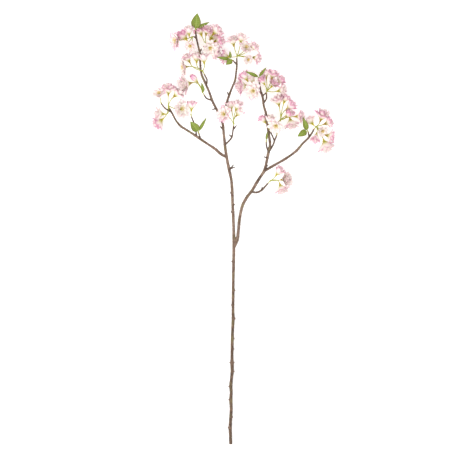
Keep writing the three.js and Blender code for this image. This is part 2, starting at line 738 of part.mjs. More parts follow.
/**
 * One layer of petals: a cupped sheet cut into lobes, each with a notched tip. Each of its two faces
 * closes at a point on the axis, or stays open at a ring for the next layer to grow from.
 */
function addLayer(body, layer, reach, rise, dice, open) {
  const { petals, from, to, length: share } = layer;
  const length = share * reach;
  const half = Math.PI / petals;
  const on = (s, angle, drop) => {
    const { out, up, angle: a } = midline({ from, to }, length, s);
    const r = out + Math.cos(a) * drop;
    return new THREE.Vector3(r * Math.cos(angle), r * Math.sin(angle), rise + up - Math.sin(a) * drop);
  };
  const lobes = Array.from({ length: petals }, (_, i) => ({
    angle: half * (2 * i + 1),
    stretch: 1 + (dice() - 0.5) * PETAL_VARIATION.length,
    lean: (dice() - 0.5) * PETAL_VARIATION.lean,
  }));
  const outline = [...EDGE, ...EDGE.slice(0, -1).reverse().map(({ s, w }) => ({ s, w: -w }))];
  const faces = [0, PETAL_THICKNESS].map((drop, side) => {
    const apex = rise - drop / Math.sin(THREE.MathUtils.degToRad(from));
    const hub = open[side]
      ? lobes.map(({ angle }) => body.add(on(NECK * length, angle - half, drop)))
      : [body.add(new THREE.Vector3(0, 0, apex))];
    const valleys = lobes.map(({ angle }) => body.add(on(VALLEY.s * length, angle - half, drop)));
    const edges = lobes.map(({ angle, stretch, lean }) => outline.map(({ s, w }) => {
      const p = on(s * length * stretch, angle - w * half, drop);
      p.z += lean * s * s * length;
      return body.add(p);
    }));
    return { hub, valleys, edges };
  });
  faces.forEach(({ hub, valleys, edges }, side) => {
    const face = (a, b, c) => body.face(...(side === 0 ? [a, b, c] : [a, c, b]));
    lobes.forEach((_, i) => {
      const next = (i + 1) % petals;
      const [here, there] = [hub[i % hub.length], hub[next % hub.length]];
      const [low, tip, high] = edges[i];
      face(here, valleys[i], tip);
      face(valleys[i], low, tip);
      if (here !== there) face(here, tip, there);
      face(there, tip, valleys[next]);
      face(tip, high, valleys[next]);
    });
  });
  const [top, under] = faces;
  lobes.forEach((_, i) => {
    const next = (i + 1) % petals;
    const chains = [top, under].map(({ valleys, edges }) => [valleys[i], ...edges[i], valleys[next]]);
    for (let k = 0; k + 1 < chains[0].length; k++) {
      const [a, b, c, d] = [chains[0][k], chains[0][k + 1], chains[1][k], chains[1][k + 1]];
      body.face(a, c, d);
      body.face(a, d, b);
    }
  });
  return { top: top.hub, under: under.hub };
}

// The star of stamens in a wide flower, and the rolled petals in a half-open one: shares of the
// petals' length.
const STAMENS = { height: 0.4, middle: 0.34, spread: 0.26, notch: 0.08 };
const HEART = { waist: 0.42, radius: 0.24, tip: 0.86 };

/** All petals of one bloom, standing on its calyx. */
function bloomSolid(bloom, swell = 1) {
  const { axis, base, reach } = stance(bloom);
  const form = FORMS[bloom[6]];
  const dice = makeDice(Math.round(1e5 * bloom[0] + 10 * bloom[1]));
  const spin = 2 * Math.PI * dice();
  const body = makeBody();
  const up = new THREE.Vector3(0, 0, 1);
  const side = new THREE.Vector3(1, 0, 0);
  const circle = (height, radius, count) => {
    const centre = new THREE.Vector3(0, 0, height * reach);
    return ring(centre, up, side, radius, count).map(body.add);
  };
  const outer = addLayer(body, form.outer, reach, 0, dice, [Boolean(form.inner || form.heart), false]);
  if (form.inner) {
    const inner = addLayer(body, form.inner, reach, LAYER_RISE, dice, [Boolean(form.stamens), true]);
    body.faces(wall(outer.top, inner.under));
    if (form.stamens) {
      const spikes = circle(STAMENS.height, (i) => (i % 2 ? STAMENS.notch : STAMENS.spread) * reach, 8);
      body.faces(wall(inner.top, spikes));
      body.faces(wall(spikes, circle(STAMENS.middle, 0, 1)));
    }
  }
  if (form.heart) {
    const waist = circle(HEART.waist, HEART.radius * reach, 5);
    body.faces(wall(outer.top, waist));
    body.faces(wall(waist, circle(HEART.tip, 0, 1)));
  }
  const turn = new THREE.Quaternion().setFromUnitVectors(up, axis);
  turn.multiply(new THREE.Quaternion().setFromAxisAngle(up, spin));
  body.points.forEach((point) => point.multiplyScalar(swell).applyQuaternion(turn).add(base));
  return body.solid();
}

// ---------------------------------------------------------------- the sprig

/** The stalks, leaves and closed blooms of one spur, as one body. */
function spray(umbel) {
  return join([
    peduncle(umbel),
    ...umbel.blooms.map((bloom) => stalk(umbel.fork, bloom)),
    ...umbel.blooms.filter(isClosed).map((bloom) => bloomSolid(bloom)),
    ...umbel.leaves.map((blade) => leaf(blade, umbel.fork)),
  ]);
}

/** The room that open petals leave round one spur's stalks, leaves and closed blooms. */
function sprayRoom(umbel) {
  const closed = umbel.blooms.filter(isClosed);
  return join([
    peduncle(umbel, SEAT_GAP),
    ...umbel.blooms.map((bloom) => stalk(umbel.fork, bloom, SEAT_GAP)),
    ...closed.flatMap((bloom) => [bloomSolid(bloom), bloomSolid(bloom, CLOSED_SWELL)]),
    ...umbel.leaves.map((blade) => leaf(blade, umbel.fork, SEAT_GAP)),
  ]);
}

const BARK = new THREE.MeshStandardMaterial({ color: 0x8d6f63, roughness: 0.85 });
const GREEN = new THREE.MeshStandardMaterial({ color: 0xa3a846, roughness: 0.6 });
const PETAL = new THREE.MeshStandardMaterial({ color: 0xf6d9e2, roughness: 0.65 });

const TOUCH = 0.002; // cubic millimetres that two blooms share where they press into each other

const sprig = new THREE.Group();
sprig.name = 'cherry_blossom_sprig';

function addPiece(name, solid, material) {
  const mesh = new THREE.Mesh(toGeometry(solid), material);
  mesh.name = name;
  sprig.add(mesh);
}

const branch = wood().subtract(surface);
addPiece('branch', branch, BARK);

// Petals part round wood, stalks and leaves: this is what they keep clear of.
const woodRoom = wood(SEAT_GAP);
const rooms = [woodRoom];

for (const [name, umbel] of Object.entries(UMBELS)) {
  const solid = clearOf(clearOf(spray(umbel), woodRoom), surface);
  addPiece(`spray_${name}`, largest(solid), GREEN);
  rooms.push(sprayRoom(umbel));
}
const room = join(rooms);

// Open blooms that press into each other are one piece, which is named for all of them.
const corollas = [];
Object.values(UMBELS).flatMap(({ blooms }) => blooms).forEach((bloom, index) => {
  if (isClosed(bloom)) return;
  const members = [index + 1];
  let solid = largest(clearOf(clearOf(bloomSolid(bloom), room), surface));
  for (const other of corollas.filter(({ merged }) => !merged)) {
    if (other.solid.intersect(solid).volume() > TOUCH) {
      members.push(...other.members);
      solid = solid.add(other.solid);
      other.merged = true;
    }
  }
  corollas.push({ members, solid });
});
for (const { members, solid } of corollas.filter(({ merged }) => !merged)) {
  addPiece(`bloom_${members.sort((a, b) => a - b).join('_')}`, solid, PETAL);
}

export default sprig;
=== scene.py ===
# %% [markdown]
# # A cut cherry blossom sprig
#
# The sprig lies on a pale studio floor and is seen from straight above. It is one woody branch, some
# twenty umbels of flowers on green stalks, and a few young leaves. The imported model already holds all
# of them as plain solids in the right places. Here each one gets the surface that grew on it: bark
# with pale breathing pores, ruffled double petals, stamens, veined and toothed leaves.
#
# Everything is in metres in Blender. Sizes on a plant are easier to think of in millimetres, so the
# tables below are in millimetres, and one function turns them into places.

import math
import random

import bpy
import numpy as np
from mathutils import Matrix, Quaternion, Vector
from mathutils.kdtree import KDTree


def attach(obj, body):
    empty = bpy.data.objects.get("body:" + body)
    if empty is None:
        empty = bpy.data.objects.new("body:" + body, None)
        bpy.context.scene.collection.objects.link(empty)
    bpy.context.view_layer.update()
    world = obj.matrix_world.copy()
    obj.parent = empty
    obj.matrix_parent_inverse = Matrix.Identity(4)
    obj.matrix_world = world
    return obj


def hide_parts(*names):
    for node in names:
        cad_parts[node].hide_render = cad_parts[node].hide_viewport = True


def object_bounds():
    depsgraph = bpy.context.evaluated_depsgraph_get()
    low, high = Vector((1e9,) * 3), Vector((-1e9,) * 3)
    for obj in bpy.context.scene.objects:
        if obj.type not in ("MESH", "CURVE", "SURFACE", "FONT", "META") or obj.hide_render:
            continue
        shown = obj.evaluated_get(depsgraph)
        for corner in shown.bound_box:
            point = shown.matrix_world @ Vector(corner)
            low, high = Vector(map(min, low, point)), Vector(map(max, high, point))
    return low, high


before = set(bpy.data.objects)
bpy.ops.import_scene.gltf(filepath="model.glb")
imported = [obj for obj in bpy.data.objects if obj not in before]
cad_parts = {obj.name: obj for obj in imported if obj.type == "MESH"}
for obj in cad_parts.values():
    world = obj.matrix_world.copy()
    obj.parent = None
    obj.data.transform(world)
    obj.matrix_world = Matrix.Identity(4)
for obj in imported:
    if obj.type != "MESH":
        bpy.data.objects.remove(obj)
cad_box = [list(corner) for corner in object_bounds()]
nodes = sorted(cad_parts)
print("solids:", len(nodes))
print("box in mm:", [[round(1000 * x, 1) for x in corner] for corner in cad_box])

# %% [markdown]
# ## The plan
#
# A branch could be grown by a rule, but this one has its own crooked shape, so its joints are listed one
# by one. They are on a plan seen from above, like points on squared paper: u counts to the right and v
# towards the cut end. The third number is the height in millimetres and the fourth, on wood, a radius.

# %% From the plan to the floor
MM = 0.001
SPRIG_LENGTH = 1165  # from the cut end to the tip of the topmost leaf
PLAN_LENGTH = 431  # the same length on the plan
UNIT = SPRIG_LENGTH / PLAN_LENGTH
PLAN_ORIGIN = (243.1, 229.4)
BUTT_V = 445.3  # where the cut end is on the plan
LAY_DOWN = 14  # how far the far end comes down until petals rest on the floor
REST_HEIGHT = 43
FLATTEN = 0.8  # how far the umbels keep their depth under the sprig's weight
UP = Vector((0, 0, 1))


def place(u, v, height):
    """A point of the plan as a position in millimetres."""
    laid = height - LAY_DOWN * (BUTT_V - v) / PLAN_LENGTH
    return Vector(((u - PLAN_ORIGIN[0]) * UNIT, (PLAN_ORIGIN[1] - v) * UNIT, laid))


def facing(turn, lift):
    """The direction of a compass angle and a lift, in degrees."""
    t, l = math.radians(turn), math.radians(lift)
    return Vector((math.cos(l) * math.cos(t), math.cos(l) * math.sin(t), math.sin(l)))


def square_to(axis, hint):
    """A unit vector square to the axis, as near as possible to the hint."""
    return (hint - axis * hint.dot(axis)).normalized()


print("one step of the plan is", round(UNIT, 3), "mm")

# %% The woody stem, its arms and twigs
STEM = [
    [230.7, 445.3, 3.6, 3.9], [230.5, 437, 4.3, 3.8], [230.2, 429, 5.2, 4.3], [230.6, 420, 6.0, 3.8],
    [231.2, 410, 7.1, 3.8], [230.8, 400, 8.2, 4.2], [231.2, 393, 9.0, 3.7], [230.8, 386.5, 9.8, 4.2],
    [231.5, 379, 10.8, 3.7], [232.2, 371.5, 11.8, 4.1], [232, 363.5, 12.8, 4.4], [232, 356, 13.8, 3.6],
    [232.2, 343, 15.6, 3.9], [232.6, 331, 17.4, 3.6], [233.1, 319.5, 19.0, 4.0], [233.0, 309, 20.6, 3.5],
    [233.1, 297, 22.4, 3.7], [233.3, 279.5, 25.2, 3.5], [233.6, 264, 27.4, 3.7], [233.8, 250, 29.4, 3.7],
    [233.9, 240, 30.8, 4.0], [233.6, 228, 32.4, 3.4], [233.2, 216, 34.0, 3.7], [232.6, 204, 35.5, 3.4],
    [232.2, 191.5, 37.0, 3.7], [231.3, 180, 38.2, 3.4], [229.3, 170.5, 39.2, 3.9],
    [227.3, 160.7, 40.2, 3.5], [225.4, 149, 41.0, 3.4], [223.8, 134, 42.0, 3.0], [222.3, 122, 42.6, 3.1],
    [217.6, 111.5, 43.2, 2.8], [212.6, 101.5, 43.8, 2.9], [209, 91.5, 44.4, 2.5],
    [205.4, 83.3, 44.9, 2.6], [201.5, 74, 45.4, 2.4], [200.2, 63, 46.0, 2.3], [200, 54, 46.4, 2.5],
    [198.3, 46.5, 46.8, 2.0], [196.6, 39, 47.2, 2.0], [195.5, 31.5, 47.6, 1.7],
]

RIGHT_ARM = [
    [233.9, 248, 29.8, 3.1], [237.2, 239.7, 31.4, 4.1], [238.4, 231, 32.6, 3.6], [239.2, 222, 33.6, 3.8],
    [240.6, 213, 34.6, 3.5], [242.9, 204.5, 35.4, 3.7], [246.9, 197.2, 36.2, 3.8],
    [252, 190.5, 37.0, 3.5], [257.4, 181.5, 37.8, 3.7], [261.2, 175.6, 38.2, 3.2],
    [264.4, 170.6, 38.6, 3.9], [266.2, 163.5, 39.4, 3.1], [268.4, 152.6, 40.6, 3.5],
    [270, 144.5, 41.4, 2.9], [269.2, 137, 42.0, 3.0], [267.3, 124, 42.8, 2.7], [266.2, 114.5, 43.4, 2.8],
    [263.7, 105.5, 43.9, 2.4], [262.6, 97, 44.4, 2.7], [260.3, 88.7, 44.9, 1.9], [258.9, 79.5, 45.4, 1.5],
]

LEFT_ARM = [
    [225.9, 157, 40.6, 2.8], [220.4, 153.6, 40.0, 3.5], [215.2, 149, 39.4, 3.4],
    [208.5, 144.5, 38.8, 2.8], [201.2, 139.6, 38.2, 3.1], [196, 136, 37.8, 3.1],
    [190.5, 132.4, 37.5, 2.5], [185.2, 129, 37.2, 2.6], [180.6, 126, 37.0, 2.9], [176, 120.5, 36.8, 2.0],
    [172.8, 114.5, 36.8, 2.1], [169.8, 109, 37.0, 1.6],
]

INNER_ARM = [
    [222.5, 121, 42.6, 2.5], [224.6, 111.5, 42.2, 2.6], [226.9, 102, 42.0, 2.4], [229.4, 94.6, 42.2, 2.6],
    [232, 87.6, 42.6, 2.1], [235, 80.4, 43.0, 2.4], [236, 73.5, 43.5, 1.9], [236.8, 66, 44.0, 2.1],
    [236.8, 58.5, 44.6, 1.4],
]

SIDE_ARM = [
    [264.8, 170.9, 38.6, 2.6], [271.1, 167, 38.4, 3.1], [278.1, 163, 38.2, 2.6], [285, 159, 38.0, 3.1],
    [291, 155, 38.0, 2.5], [297, 150.2, 38.0, 3.1], [302.6, 143.6, 38.2, 2.4], [308, 138.4, 38.5, 2.4],
    [312, 132.9, 38.9, 1.8], [313.7, 129.6, 39.1, 1.5],
]

LOWER_TWIG = [
    [251, 191.8, 37.0, 1.9], [256.8, 192.4, 36.4, 2.2], [261.6, 190.2, 36.0, 2.4],
    [265.2, 186.4, 35.8, 1.8], [267.7, 183.6, 35.8, 1.7],
]

TWIGS = [
    LEFT_ARM,
    INNER_ARM,
    SIDE_ARM,
    LOWER_TWIG,
    [[196.4, 135.6, 37.8, 1.6], [195.4, 127, 39.5, 1.6], [191.6, 117.2, 41.5, 1.3]],
    [
        [224.9, 145, 41.4, 1.6], [231.4, 138, 41.6, 1.7], [232.8, 131.5, 42.2, 1.4],
        [233.5, 126.5, 42.6, 1.3],
    ],
    [[211.9, 100.4, 43.9, 1.6], [206.6, 98.4, 44.2, 1.6], [204.6, 95.6, 44.4, 1.3]],
    [[206.4, 85.6, 44.8, 1.4], [207, 80.2, 46.4, 1.5], [204.6, 75, 48.0, 1.3]],
    [[199.8, 51.5, 46.4, 1.5], [202.4, 48.6, 47.4, 1.6], [204, 46.6, 48.0, 1.3]],
    [[196.6, 39.2, 47.2, 1.3], [194.2, 36.8, 48.2, 1.3]],
    [[263.8, 103, 44.0, 1.5], [266.4, 98.6, 44.8, 1.6], [266.4, 94, 45.6, 1.3]],
    [[261.9, 94.6, 44.6, 1.4], [259, 92, 43.0, 1.3]],
    [[268.6, 152.2, 40.6, 1.5], [266.8, 147.4, 41.0, 1.6], [266.2, 142.8, 41.4, 1.3]],
    [
        [268.6, 152.6, 40.6, 1.6], [272.8, 145.4, 40.6, 1.7], [274.6, 140.6, 40.8, 1.7],
        [276.5, 136, 41.2, 1.4],
    ],
    [[274.6, 141.2, 40.8, 1.4], [271.8, 134.6, 42.6, 1.4], [269.6, 130.4, 44.8, 1.3]],
    [[309, 137, 38.6, 1.4], [308.4, 132.4, 39.2, 1.3]],
    [[236.5, 64.4, 44.2, 1.4], [233.4, 61, 44.8, 1.3]],
    [[200.8, 139.2, 38.2, 1.5], [199, 134, 39.0, 1.3]],
    [[172, 112.6, 36.8, 1.3], [165.4, 108.4, 40.4, 1.4], [161.8, 104.2, 41.2, 1.1]],
]

STUBS = [
    [[229.2, 170, 39.2], [233.6, 164.6, 41.5]], [[223.3, 130, 42.2], [219.8, 126, 43.5]],
    [[216, 108.6, 43.4], [212, 109.6, 42]], [[200.2, 56, 46.4], [203, 52.6, 44]],
    [[229, 96, 42.2], [227, 91.6, 43.6]], [[231.8, 137, 41.7], [229, 134.6, 43]],
    [[232.9, 130, 42.3], [236.6, 125.4, 41]], [[264.4, 170, 38.8], [267.8, 165.2, 41.4]],
    [[267.2, 158, 40], [263.6, 156.6, 41.4]], [[257.2, 181.5, 37.8], [259.6, 176.6, 40.6]],
    [[261.4, 190.4, 36], [262.2, 187, 38]], [[233.2, 319.5, 19.2], [235.2, 317.6, 20.6]],
    [[230.6, 429, 5.4], [228.4, 427.4, 6.6]],
]
STUB_RADII = [1.5, 0.8]  # at the foot and at the tip
LIMBS = [STEM, RIGHT_ARM, *TWIGS]
print("limbs:", len(LIMBS), "stubs:", len(STUBS))

# %% [markdown]
# ## The umbels
#
# A cherry carries its flowers in umbels: a short green peduncle ends in a knob, and every pedicel
# starts at that knob. A flower here is the middle of its petals, the compass angle and lift that it
# faces, its radius in millimetres, and how far it is open. A leaf is its foot, tip, width and margin.

# %% Where each flower and leaf stands
def umbel(spur, fork, blooms=(), leaves=()):
    """One umbel: the spur it grows on, the knob its stalks fork from, its flowers and its leaves."""
    return {"spur": spur, "fork": fork, "blooms": blooms, "leaves": leaves}


UMBELS = {
    "crown": umbel((195.5, 31.5, 47.6), (195.8, 29.6, 48), leaves=[
        ((195.4, 28.6, 48.6), (197.4, 13.6, 58), 25, "toothed"),
        ((197, 28.4, 48.4), (209.6, 22.4, 54), 9, "plain"),
    ]),
    "topLeft": umbel((194.2, 36.8, 48.2), (192.2, 37, 49), [
        (176.2, 40.4, 46, 186, 34, 24, "wide"), (183.6, 36, 38, 128, -14, 18, "open"),
        (189, 30.8, 54, 92, 14, 12.5, "cup"), (190.6, 46, 59, 240, 58, 15, "wide"),
    ]),
    "topRight": umbel((204, 46.6, 48), (205.8, 44.8, 48.6), [
        (200, 31.4, 36, 112, -12, 14.5, "open"), (206.6, 30.8, 53, 82, 18, 15.5, "open"),
        (212.6, 36.4, 24, 52, -40, 15, "open"), (215.9, 31, 48, 50, -4, 17, "open"),
        (218.6, 41, 43, 8, -6, 17, "open"), (209.8, 48.2, 61, 310, 62, 20, "wide"),
        (214.8, 53, 45, 334, -2, 16, "open"),
    ]),
    "collar": umbel((204.6, 75, 48), (202.6, 71, 50), [
        (203.6, 58.6, 54, 98, 6, 13, "cup"), (196.6, 57.6, 34, 90, -12, 12.5, "cup"),
        (187.6, 58.4, 48, 118, 4, 15, "open"), (184.2, 67, 44, 188, 22, 22.5, "wide"),
    ]),
    "elbow": umbel((204.6, 95.6, 44.4), (202.4, 92, 45), [
        (185.8, 84, 44, 192, 12, 21.5, "open"), (194.4, 78.8, 52, 132, 16, 10, "bud"),
    ], [
        ((203.6, 92, 46.6), (201.6, 82.8, 54), 8, "plain"),
    ]),
    "inner": umbel((236.8, 58.5, 44.6), (237.2, 56, 45.4), [
        (232.8, 41.4, 45, 104, 4, 16, "open"), (241.3, 38.6, 43.5, 80, -4, 16.5, "open"),
        (245.8, 48, 56, 56, 48, 18.5, "wide"), (253.8, 47.4, 48, 36, -2, 15, "open"),
        (256.4, 58, 40, 350, -2, 14.5, "open"), (247.8, 59.6, 60, 320, 54, 13.5, "wide"),
        (225.6, 56.4, 25.6, 176, -16, 16, "open"),
    ]),
    "innerStub": umbel((233.4, 61, 44.8), (231.8, 60, 45.4), leaves=[
        ((231.4, 60, 47), (226, 65, 53), 16, "toothed"),
        ((229.4, 59.4, 47), (216.9, 57.7, 56), 9, "plain"),
        ((230.6, 58, 47), (229.8, 51, 54), 7, "plain"),
    ]),
    "leftTip": umbel((169.8, 109, 37), (168.4, 105.6, 38), [
        (168.6, 89.8, 41, 86, 6, 18.5, "open"), (177, 93.6, 39, 44, -8, 16.5, "open"),
        (181.4, 109.2, 54, 10, 60, 22.5, "wide"), (159.6, 113.8, 37.5, 178, 2, 16.5, "open"),
        (159, 122.2, 25, 222, -16, 18, "open"),
    ]),
    "leftOuter": umbel((161.8, 104.2, 41.2), (161, 102.8, 42), [(159.2, 94, 52, 104, 46, 17.5, "wide")]),
    "leftMid": umbel((191.6, 117.2, 41.5), (191, 114.6, 42.2), [(191.8, 105.8, 41, 84, 0, 12, "cup")]),
    "leftStub": umbel((199, 134, 39), (198.4, 132, 39.6), leaves=[
        ((198, 131, 40.4), (190.4, 121.6, 50), 21, "toothed"),
        ((199, 130.6, 40.4), (206.6, 117.6, 50), 8, "plain"),
    ]),
    "middle": umbel((233.5, 126.5, 42.6), (233.8, 123.6, 43.4), [
        (224.2, 114.4, 60, 166, 60, 21.5, "wide"), (230.4, 105.6, 38, 104, -8, 11.5, "cup"),
        (237.2, 105.8, 55, 72, 12, 12, "cup"), (239, 112.6, 38, 50, -6, 11.5, "cup"),
    ]),
    "leader": umbel((258.9, 79.5, 45.4), (258.6, 77.6, 45.8), leaves=[
        ((258, 76.8, 46.4), (245.2, 71.6, 58), 9, "toothed"),
        ((259.2, 76.4, 46.4), (266.6, 67.4, 62), 7, "plain"),
    ]),
    "rightInner": umbel((259, 92, 43), (256.8, 90.4, 43), [
        (244.8, 76.4, 46, 120, 2, 12.5, "cup"), (242.2, 86, 40, 182, 4, 20, "open"),
        (251.8, 79.6, 34, 122, -10, 11.5, "cup"), (253.4, 91, 60, 196, 66, 22.5, "wide"),
    ]),
    "rightCrown": umbel((266.4, 94, 45.6), (266.8, 91, 46.6), [
        (265.4, 74, 44, 100, 0, 11.5, "cup"), (262.6, 81, 59, 118, 18, 11, "cup"),
        (273, 75, 40, 72, -4, 16, "open"), (279.8, 80.4, 39, 36, -8, 14.5, "open"),
        (273.6, 84.2, 57.5, 50, 24, 14, "open"), (281.7, 90.3, 45, 12, 0, 15, "open"),
    ]),
    "leaderStub": umbel((266.2, 142.8, 41.4), (266.3, 140.8, 41.8), leaves=[
        ((266.4, 139.8, 42.2), (267.2, 131.6, 50), 6, "plain"),
    ]),
    "forkLeft": umbel((269.6, 130.4, 44.8), (268.8, 128.4, 46), [
        (263, 119.8, 40, 132, -4, 11, "cup"), (269.8, 120, 56, 84, 16, 11.5, "cup"),
    ]),
    "forkRight": umbel((276.5, 136, 41.2), (280.6, 119.6, 43), [
        (276, 125.8, 60, 250, 58, 20.5, "wide"), (278, 101, 48, 102, 6, 18, "open"),
        (284.9, 99, 41, 74, -8, 14, "open"), (290.4, 106.2, 50, 38, 8, 13.5, "cup"),
        (288.6, 114.2, 56, 50, 26, 11.5, "cup"), (291, 123, 42, 284, -2, 18, "open"),
        (299.6, 116.4, 44, 2, 4, 14.5, "open"),
    ]),
    "rightStub": umbel((308.4, 132.4, 39.2), (307.6, 130.8, 40), leaves=[
        ((307, 130, 41), (303, 117.8, 55), 14, "toothed"),
        ((306.4, 131, 41), (297.4, 136.6, 50), 17, "toothed"),
    ]),
    "rightTip": umbel((313.7, 129.6, 39.1), (316.4, 126.4, 40.6), [
        (322.2, 115.8, 44, 70, 12, 20.5, "open"), (328.2, 122.7, 40, 20, -8, 14, "open"),
        (322, 131, 57, 318, 54, 14.5, "wide"), (330.4, 136.1, 36, 346, -4, 16.5, "open"),
        (325.8, 145, 31, 292, -8, 21.5, "open"), (315.6, 137.4, 54, 256, 22, 11.5, "cup"),
        (310.4, 121.4, 34, 132, -14, 14.5, "open"),
    ]),
    "lower": umbel((267.7, 183.6, 35.8), (270.6, 180.6, 36.6), [
        (278.8, 171.4, 46, 55, 10, 13, "cup"), (285.6, 179.2, 41, 8, 32, 18, "open"),
        (281.4, 188.2, 34, 290, -4, 17, "open"),
    ]),
}
FLOWERS = [flower for cluster in UMBELS.values() for flower in cluster["blooms"]]
print("umbels:", len(UMBELS), "flowers:", len(FLOWERS))
print("leaves:", sum(len(cluster["leaves"]) for cluster in UMBELS.values()))

# %% [markdown]
# ## Colours and nodes
#
# A colour picked on a screen is an sRGB value, while the renderer adds up light in linear values, so
# one function turns every hex colour to linear. Another adds a shader node with its settings and links in
# a single call. The nodes that every finish uses get a function each on top of it, so that a finish reads
# like its recipe.

# %% Colour and node helpers
A, B, MIXED = 6, 7, 2  # the colour sockets of a Mix node


def colour(hex_code):
    """A colour such as "#fdf6ee" as linear red, green, blue and alpha."""
    parts = [int(hex_code[i:i + 2], 16) / 255 for i in (1, 3, 5)]
    linear = [c / 12.92 if c <= 0.04045 else ((c + 0.055) / 1.055) ** 2.4 for c in parts]
    return (*linear, 1.0)


def new_finish(name, **surface):
    """A material with one shader, whose sockets are set by name with spaces as underscores."""
    material = bpy.data.materials.new(name)
    material.use_nodes = True
    shader = material.node_tree.nodes["Principled BSDF"]
    for key, value in surface.items():
        shader.inputs[key.replace("_", " ")].default_value = value
    return material


def add_node(material, kind, settings, links):
    """Adds a node, sets its inputs and properties, and links outputs of other nodes into it."""
    tree = material.node_tree
    node = tree.nodes.new(kind)
    for name, value in settings.items():
        if isinstance(name, int) or name in node.inputs:
            node.inputs[name].default_value = value
        else:
            setattr(node, name, value)
    for name, source in links.items():
        tree.links.new(source, node.inputs[name])
    return node


def read(material, name, output="Vector"):
    """What the points of the mesh carry under a name."""
    return add_node(material, "ShaderNodeAttribute", {"attribute_name": name}, {}).outputs[output]


def noise(material, scale, detail, where=None, roughness=0.5):
    """A cloudy pattern between 0 and 1."""
    settings = {"Scale": scale, "Detail": detail, "Roughness": roughness}
    links = {"Vector": where} if where else {}
    return add_node(material, "ShaderNodeTexNoise", settings, links).outputs["Fac"]


def ramp(material, value, low, high, start=0.0, end=1.0, shape="LINEAR"):
    """Turns a range of values into another and cuts off what lies beyond it."""
    settings = {"From Min": low, "From Max": high, "To Min": start, "To Max": end}
    settings["interpolation_type"] = shape
    return add_node(material, "ShaderNodeMapRange", settings, {"Value": value}).outputs[0]


def maths(material, operation, *values):
    """One sum, where each value is a number or the output of a node."""
    numbers = {i: value for i, value in enumerate(values) if isinstance(value, float)}
    sources = {i: value for i, value in enumerate(values) if not isinstance(value, float)}
    return add_node(material, "ShaderNodeMath", {"operation": operation, **numbers}, sources).outputs[0]


def stretch(material, vector, factors):
    """A place with each of its three numbers multiplied."""
    settings = {"operation": "MULTIPLY", 1: factors}
    return add_node(material, "ShaderNodeVectorMath", settings, {0: vector}).outputs[0]


def blend(material, share, first, second):
    """Goes from one colour to another, where each is a hex code or the output of a node."""
    sides = {A: first, B: second}
    codes = {socket: colour(side) for socket, side in sides.items() if isinstance(side, str)}
    sources = {socket: side for socket, side in sides.items() if not isinstance(side, str)}
    settings = {"data_type": "RGBA", **codes}
    return add_node(material, "ShaderNodeMix", settings, {0: share, **sources}).outputs[MIXED]


def paint(material, tint, height=None, strength=0.0, depth=0.0):
    """Gives a finish its colour and, where it is uneven, bumps of a depth in metres."""
    shader = material.node_tree.nodes["Principled BSDF"]
    material.node_tree.links.new(tint, shader.inputs["Base Color"])
    if height:
        settings = {"Strength": strength, "Distance": depth}
        bump = add_node(material, "ShaderNodeBump", settings, {"Height": height})
        material.node_tree.links.new(bump.outputs["Normal"], shader.inputs["Normal"])


print("white is", colour("#ffffff"))

# %% [markdown]
# ## Making a mesh from heaps of points
#
# A flower has hundreds of small sheets. Making each one an object would be slow, so the points and
# faces of a whole umbel are heaped up first, and become one mesh at the end. Every point also carries
# where it grew: across and along its petal or leaf, and a tone of its own. The finishes read these, so
# that a petal's edge is pink wherever the petal lies.

# %% A heap that becomes one piece
FLOOR_GAP = 0.05  # nothing reaches lower than this above the floor, in millimetres


class Heap:
    """Points in millimetres, faces, and for each point where it grew."""

    def __init__(self):
        self.points = []
        self.grown = []
        self.faces = []
        self.finishes = []
        self.count = 0

    def add(self, points, faces, grown, finish=0):
        self.points.append(np.asarray(points, float).reshape(-1, 3))
        self.grown.append(np.asarray(grown, float).reshape(-1, 3))
        self.faces += [tuple(self.count + i for i in face) for face in faces]
        self.finishes += [finish] * len(faces)
        self.count += len(self.points[-1])


def sheet_faces(rows, columns):
    """The quads of a sheet of points in rows."""
    corners = [r * columns + c for r in range(rows - 1) for c in range(columns - 1)]
    return [(a, a + 1, a + 1 + columns, a + columns) for a in corners]


def add_blade(heap, grid, grown, thickness, front=0, back=0):
    """A thin closed blade round a sheet of points, given as rows by columns by 3."""
    rows, columns = grid.shape[:2]
    lengthwise = np.gradient(grid, axis=0)
    sideways = np.gradient(grid, axis=1)
    normal = np.cross(sideways, lengthwise)
    normal /= np.maximum(np.linalg.norm(normal, axis=2, keepdims=True), 1e-9)
    offset = normal * thickness / 2
    size = rows * columns
    rim = [c for c in range(columns)] + [r * columns + columns - 1 for r in range(1, rows)]
    rim += [size - 1 - c for c in range(1, columns)] + [r * columns for r in range(rows - 2, 0, -1)]
    faces = sheet_faces(rows, columns)
    all_faces = faces + [tuple(size + i for i in face[::-1]) for face in faces]
    all_faces += [(b, a, size + a, size + b) for a, b in zip(rim, rim[1:] + rim[:1])]
    points = np.concatenate([(grid + offset).reshape(-1, 3), (grid - offset).reshape(-1, 3)])
    start = len(heap.finishes)
    heap.add(points, all_faces, np.concatenate([grown, grown]), front)
    heap.finishes[start + len(faces):start + 2 * len(faces)] = [back] * len(faces)


def add_vector_blade(heap, rows, grown, thickness, finish):
    """The same from rows of vectors, with one finish on both sides."""
    grid = np.array([[list(point) for point in row] for row in rows])
    add_blade(heap, grid, grown, thickness, finish, finish)


